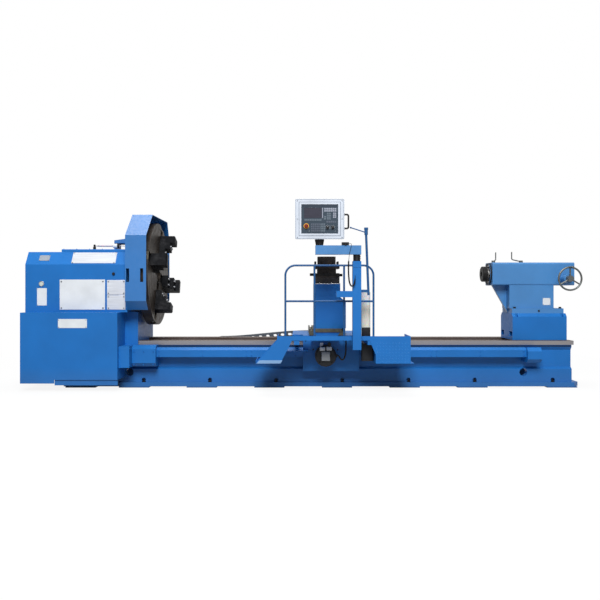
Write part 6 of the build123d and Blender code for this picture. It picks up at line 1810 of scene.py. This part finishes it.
@dataclass
class Platform:
    """Chequer lozenges of the deck and steps, a painted highlight on a step's lip, and weld beads at the
    rail's posts.
    """

    pitch: float = 0.034
    front: float = -1.090
    deck_top: float = 0.610
    step_field: Area = ((2.590, 2.944), (0.368, 0.592))
    deck_field: Area = ((1.528, 2.936), (-1.050, -0.694))
    lip: Pairs = ((1.283, 0.3555), (1.5445, 0.3555), (1.5645, 0.390), (1.319, 0.390))
    lip_thick: float = 0.0012
    lip_edge: float = 0.0003
    posts: tuple[float, ...] = (1.597, 1.913, 2.235, 2.555)
    post_y: float = -1.066
    bead: Profile = (
        (0.0105, 0.0), (0.016, 0.0), (0.0147, 0.004), (0.0113, 0.008), (0.0105, 0.008), (0.0105, 0.0),
    )
    bead_sides: int = 20

    def build(self) -> None:
        """Makes the treads, a pale strip of painted highlight on the hanging step's lip and the weld beads.
        """
        tread = Stock()
        tread.lozenges(*self.step_field, self.pitch, Matrix.Translation((0.0, self.front, 0.0)) @ UPRIGHT)
        tread.lozenges(*self.deck_field, self.pitch, Matrix.Translation((0.0, 0.0, self.deck_top)))
        tread.done("deck_tread", TREAD, Body.CARRIAGE)
        # The lip is a thin pale plate: painted highlight.
        foot = [(x, self.front - self.lip_thick, z) for x, z in self.lip]
        Stock().slab(foot, (0.0, self.lip_thick, 0.0), self.lip_edge).done("step_lip_highlight", LIP_HIGHLIGHT, Body.CARRIAGE)
        beads = Stock()
        for x in self.posts:
            beads.turned((x, self.post_y, self.deck_top), FACING_UP, self.bead, self.bead_sides)
        beads.done("rail_welds", PAINT, Body.CARRIAGE)


@dataclass(frozen=True)
class KeyField:
    """A rectangle of keys: its ends across and up, its columns and its rows."""

    x: Span
    z: Span
    columns: int
    rows: int


@dataclass
class Pendant:
    """Sleeves, bezel, screen, keys, dials, grip and back of the operator's panel, and the pulse dial."""

    centre_x: float = 1.966
    centre_z: float = 1.9075
    face: float = -1.2235
    frame_face: float = -1.2255
    back: float = -1.0455
    pivot_x: float = 2.367
    pivot_y: float = -1.1355
    sleeve_side: float = pivot_x + 0.0386
    back_face: float = back + 0.002
    bezel: Rim = Rim((0.434, 0.353), 0.021, 0.0028, 0.0012)
    # Two flat darker rings round the bezel: painted shade where grooves would be.
    groove_shades: tuple[Rim, ...] = (
        Rim((0.446, 0.365), 0.0065, 0.0008, 0.0003), Rim((0.514, 0.417), 0.004, 0.0006, 0.0002),
    )
    light_keys: tuple[KeyField, ...] = (
        KeyField((2.0120, 2.1440), (1.9830, 2.0260), 6, 2),
        KeyField((2.1060, 2.1430), (1.9170, 1.9770), 2, 3),
    )
    middle_keys: tuple[KeyField, ...] = (
        KeyField((1.802, 1.9865), (1.8850, 1.9090), 10, 1),
        KeyField((1.972, 2.0245), (1.7700, 1.8620), 3, 4),
        KeyField((2.0410, 2.0850), (1.8980, 1.9740), 2, 4),
        KeyField((2.0080, 2.0350), (1.8980, 1.9400), 1, 2),
    )
    dark_keys: tuple[KeyField, ...] = (
        KeyField((1.871, 1.9685), (1.7700, 1.8620), 5, 4),
        KeyField((2.0350, 2.1430), (1.8650, 1.8890), 5, 1),
    )
    key_rise: float = 0.0022
    key_gap: float = 0.0016
    key_edge: float = 0.0009
    lamp_spots: Pairs = ((2.1326, 1.779), (1.8540, 1.779))
    lamp: Profile = ((0.0, 0.002), (0.0022, 0.0016), (0.003, 0.0), (0.0, 0.0))
    lamp_sides: int = 16
    knobs: Pairs = ((2.048, 1.8195), (2.104, 1.8195))
    knob_bodies: tuple[Body, Body] = (Body.FEED_DIAL, Body.SPEED_DIAL)
    knob_front: float = -1.2438
    mark_count: int = 11
    mark_start: float = -135.0
    mark_step: float = 27.0
    mark_low: Point = (-0.0007, face - 0.0006, 0.0195)
    mark_high: Point = (0.0007, face + 0.0002, 0.0250)
    pointer_low: Point = (-0.0012, knob_front - 0.0006, 0.002)
    pointer_high: Point = (0.0012, knob_front + 0.0004, 0.0145)
    pointer_edge: float = 0.0003
    grip_x: Span = (2.228, 2.272)
    grip_y: float = -1.2115
    grip_z: Span = (1.8075, 1.9555)
    grip_radius: float = 0.0094
    grip_bend: float = 0.018
    collar_long: float = 0.005
    collar_rise: float = 0.004
    disc_at: Point = (2.243, -1.1955, 1.647)
    disc: Profile = ((0.0, 0.0014), (0.0125, 0.0014), (0.0148, 0.0), (0.0, 0.0))
    disc_sides: int = 28
    crank_at: Point = (2.2515, -1.1955, 1.650)
    crank: Profile = ((0.0, 0.009), (0.0028, 0.008), (0.0034, 0.0), (0.0, 0.0))
    crank_sides: int = 14
    fittings: tuple[Fitting, ...] = (
        Turned("swivel_sleeve", OXIDE, Body.PENDANT, (pivot_x, pivot_y, 1.4625), FACING_UP, (
            (0.030, 0.0), (0.0386, 0.0), (0.0392, 0.003), (0.0392, 0.010), (0.0386, 0.012), (0.0386, 0.0695),
            (0.030, 0.0695), (0.030, 0.0)), 40),
        Screws("swivel_screws", SCREW, Body.PENDANT, grid((sleeve_side,), (pivot_y,), (1.490, 1.512)),
               FACING_RIGHT, 0.005),
        Turned("panel_sleeve", OXIDE, Body.PANEL, (centre_x, pivot_y, 1.6305), FACING_UP, (
            (0.030, 0.0), (0.0406, 0.0), (0.0406, 0.004), (0.0506, 0.058), (0.0506, 0.0632), (0.030, 0.0632),
            (0.030, 0.0)), 40),
        Screws("bezel_screws", SCREW, Body.PANEL,
               grid(about(centre_x, -0.238, 0.238), (frame_face,), about(centre_z, -0.195, 0.0, 0.195)),
               FACING_FRONT, 0.0045),
        Block("screen_glass", SCREEN, Body.PANEL, (1.7995, -1.2228, 1.9185), (1.9865, -1.2214, 2.0265),
              0.0005),
        Block("fascia_band", BAND, Body.PANEL, (1.774, -1.2241, 2.0335), (2.158, -1.2234, 2.0605), 0.0003),
        Block("fascia_strip", KEY_LIGHT, Body.PANEL, (1.991, -1.2243, 1.9165), (2.0005, -1.2234, 2.0285),
              0.0003),
        Turned("stop_ring", YELLOW, Body.PANEL, (1.823, face, 1.8315), FACING_FRONT, (
            (0.0208, 0.0), (0.0288, 0.0), (0.0288, 0.0035), (0.0268, 0.0054), (0.0208, 0.0054),
            (0.0208, 0.0)), 40),
        Block("panel_back", SILVER, Body.PANEL, (centre_x - 0.210, back - 0.001, centre_z - 0.165),
              (centre_x + 0.210, back_face, centre_z + 0.165), 0.001),
        Screws("panel_back_screws", SCREW, Body.PANEL,
               grid(about(centre_x, -0.198, 0.0, 0.198), (back_face,), about(centre_z, -0.153, 0.153)),
               FACING_BACK, 0.005),
    )

    def build(self) -> None:
        """Makes every piece of the panel and its arm."""
        for fitting in self.fittings:
            fitting.build()
        self.frames()
        self.keys("light_keys", KEY_LIGHT, self.light_keys)
        self.keys("middle_keys", KEY_MIDDLE, self.middle_keys)
        self.keys("dark_keys", KEY_DARK, self.dark_keys)
        self.panel_lamps()
        self.dials()
        self.grip()
        self.pulse_dial()

    def frames(self) -> None:
        """Frames the fascia with a raised bezel and two flat darker rings of painted shade for its grooves.
        """
        at = Matrix.Translation((self.centre_x, self.frame_face, self.centre_z)) @ UPRIGHT
        Stock().window(self.bezel, at).done("fascia_bezel", SILVER, Body.PANEL)
        groove_shades = Stock()
        for groove_shade in self.groove_shades:
            groove_shades.window(groove_shade, at)
        groove_shades.done("panel_groove_shades", GROOVE_SHADE, Body.PANEL)

    def keys(self, name: str, finish: Finish, fields: Sequence[KeyField]) -> None:
        """Sets all keys of one finish on the fascia.

        Args:
            name: The keys' name.
            finish: Their finish.
            fields: The rectangles that they fill.
        """
        keys = Stock()
        gap = self.key_gap
        for field in fields:
            (left, right), (foot, top) = field.x, field.z
            wide, tall = (right - left) / field.columns, (top - foot) / field.rows
            for column in range(field.columns):
                for row in range(field.rows):
                    low = (left + column * wide + gap, self.face - self.key_rise, foot + row * tall + gap)
                    high = (left + (column + 1) * wide - gap, self.face, foot + (row + 1) * tall - gap)
                    keys.block(low, high, self.key_edge, 1)
        keys.done(name, finish, Body.PANEL)

    def panel_lamps(self) -> None:
        """Sets the two small lamps at the fascia's foot."""
        lamps = Stock()
        for x, z in self.lamp_spots:
            lamps.turned((x, self.face, z), FACING_FRONT, self.lamp, self.lamp_sides)
        lamps.done("panel_lamps", WHITE, Body.PANEL)

    def dials(self) -> None:
        """Marks the two dials and their knobs."""
        marks = Stock()
        for (x, z), body in zip(self.knobs, self.knob_bodies):
            for number in range(self.mark_count):
                angle = math.radians(self.mark_start + self.mark_step * number)
                turn = Matrix.Translation((x, 0.0, z)) @ Matrix.Rotation(angle, 4, "Y")
                marks.add(Stock().block(self.mark_low, self.mark_high).turn(turn))
            low, high = ((x + a, y, z + b) for a, y, b in (self.pointer_low, self.pointer_high))
            Stock().block(low, high, self.pointer_edge).done(f"{body.value}_pointer", WHITE, body)
        marks.done("dial_marks", WHITE, Body.PANEL)

    def grip(self) -> None:
        """Sleeves the bow handle in black."""
        (side, out), y, (low, high) = self.grip_x, self.grip_y, self.grip_z
        radius, bend = self.grip_radius, self.grip_bend
        grip = Stock()
        for z in self.grip_z:
            grip.bar((side, y, z), (out - bend, y, z), radius)
        grip.bar((out, y, low + bend), (out, y, high - bend), radius)
        grip.elbow((out - bend, y, low + bend), (out - bend, y, low), FACING_FRONT, radius)
        grip.elbow((out - bend, y, high - bend), (out, y, high - bend), FACING_FRONT, radius)
        for z in self.grip_z:
            grip.bar((side, y, z), (side + self.collar_long, y, z), radius + self.collar_rise)
        grip.done("panel_grip", PLASTIC, Body.PANEL)

    def pulse_dial(self) -> None:
        """Faces the pulse unit's dial with a disc and a crank knob."""
        dial = Stock().turned(self.disc_at, FACING_FRONT, self.disc, self.disc_sides)
        dial.turned(self.crank_at, FACING_FRONT, self.crank, self.crank_sides)
        dial.done("pulse_dial", PLASTIC, Body.PENDANT)


@dataclass
class Tailstock:
    """Ring, plate and bolts of the tailstock."""

    ring: Turned = Turned("barrel_ring", OXIDE, Body.TAIL, (4.105, 0.0, AXIS_HEIGHT), FACING_LEFT, (
        (0.082, 0.0), (0.1376, 0.0), (0.1376, 0.017), (0.134, 0.0208), (0.082, 0.0208), (0.082, 0.0)), 56)
    plate: Plate = Plate("tail_plate", WHITE, Body.TAIL, (4.720, 4.812), (0.970, 1.055), -0.150, inset=0.008,
                         screw=0.003)
    ring_spot: Point = (4.0842, 0.0, 0.112)
    ring_count: int = 6
    ring_start: float = 30.0
    ring_screw: float = 0.009
    foot_spots: tuple[Point, ...] = grid((4.367, 4.920), (-0.175, 0.175), (0.929,))
    foot_bolt: float = 0.016
    clamp_at: Point = (4.654, -0.200, 0.900)
    clamp_bolt: float = 0.012

    def build(self) -> None:
        """Makes the dark ring with its screws, the blank plate and the bolts."""
        self.ring.build()
        self.ring_screws()
        self.plate.build()
        bolts = Stock().screws(self.foot_spots, FACING_UP, self.foot_bolt, Head.HEX, washer=True)
        bolts.screw(self.clamp_at, FACING_FRONT, self.clamp_bolt, Head.HEX)
        bolts.done("tail_bolts", OXIDE, Body.TAIL)

    def ring_screws(self) -> None:
        """Screws the ring to the barrel's end."""
        spots = []
        for number in range(self.ring_count):
            angle = math.radians(self.ring_start + 360 / self.ring_count * number)
            turn = Matrix.Translation((0.0, 0.0, AXIS_HEIGHT)) @ Matrix.Rotation(angle, 4, "X")
            spots.append(turn @ Vector(self.ring_spot))
        Stock().screws(spots, FACING_LEFT, self.ring_screw).done("ring_screws", SCREW, Body.TAIL)


@dataclass
class DragChain:
    """The steel chain behind the bed, which draws out between the tray and the carriage."""

    lower: str = "chain_lower"
    upper: str = "chain_upper"
    anchor_x: float = 1.552
    carriage_x: float = 1.862
    bend_x: float = 0.700
    chain_y: float = 0.600
    chain_z: float = 0.3
    even: float = 40.0
    merge_reach: float = 1e-5

    def build(self) -> None:
        """Makes both strands and the bend between them; on the machine the bend goes half as far as the
        carriage.
        """
        anchor_end, carriage_end = (2 * self.bend_x - x for x in (self.anchor_x, self.carriage_x))
        strand = self.piece("lower_strand", [self.lower], 1.0, (self.anchor_x, 0.0), (anchor_end, 0.0))
        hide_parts(self.lower)
        strand = self.piece("upper_strand", [self.upper], 1.0, (carriage_end, 0.0), (self.carriage_x, 0.0))
        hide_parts(self.upper)
        both = [self.lower, self.upper]
        self.piece("chain_bend", both, -1.0, (self.bend_x, -self.even), (self.bend_x, self.even))

    def piece(self, name: str, nodes: Sequence[str], side: float, start: Span, end: Span) -> bpy.types.Object:
        """Copies the chain on one side of its bend.

        Args:
            name: The piece's name.
            nodes: The solids that it is copied from.
            side: 1 to keep what is right of the bend, -1 for the bend itself.
            start: Where it still follows the bed, along and across from the chain's middle.
            end: Where it follows the carriage, likewise.

        Returns:
            The new object.
        """
        stock = Stock()
        mesh = stock.mesh
        for node in nodes:
            mesh.from_mesh(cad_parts[node].data)
        bmesh.ops.remove_doubles(mesh, verts=mesh.verts, dist=self.merge_reach)
        bmesh.ops.translate(mesh, vec=-DATUM.at(ORIGIN), verts=mesh.verts)
        cut = bmesh.ops.bisect_plane(mesh, geom=mesh.verts[:] + mesh.edges[:] + mesh.faces[:],
                                     plane_co=(self.bend_x, 0.0, 0.0), plane_no=(side, 0.0, 0.0),
                                     clear_inner=True)
        rims = [item for item in cut["geom_cut"] if isinstance(item, bmesh.types.BMEdge)]
        bmesh.ops.holes_fill(mesh, edges=rims)
        piece = stock.loose(name, CHAIN)
        first, last = (DATUM.at((along, self.chain_y + across, self.chain_z))
                       for along, across in (start, end))
        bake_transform(piece)
        LOG.info("%s: %d faces between frame and carriage", name, len(piece.data.polygons))
        return piece


def paint_nodes() -> None:
    """Gives every solid its finish."""
    for finish, names in NODE_FINISHES.items():
        for name in names:
            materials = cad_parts[name].data.materials
            materials.clear()
            materials.append(finish.material())
    LOG.info("solids finished: %d", sum(len(names) for names in NODE_FINISHES.values()))


def main() -> None:
    """Builds the scene in order."""
    logging.basicConfig(level=logging.INFO, format="%(message)s")
    assemblies = (
        Studio(), Headstock(), Chuck(), Bed(), Carriage(), ToolPost(), Platform(), Pendant(), Tailstock(),
        DragChain(), Cords(),
    )
    for assembly in assemblies:
        assembly.build()
    paint_nodes()


if __name__ == "__main__":
    main()
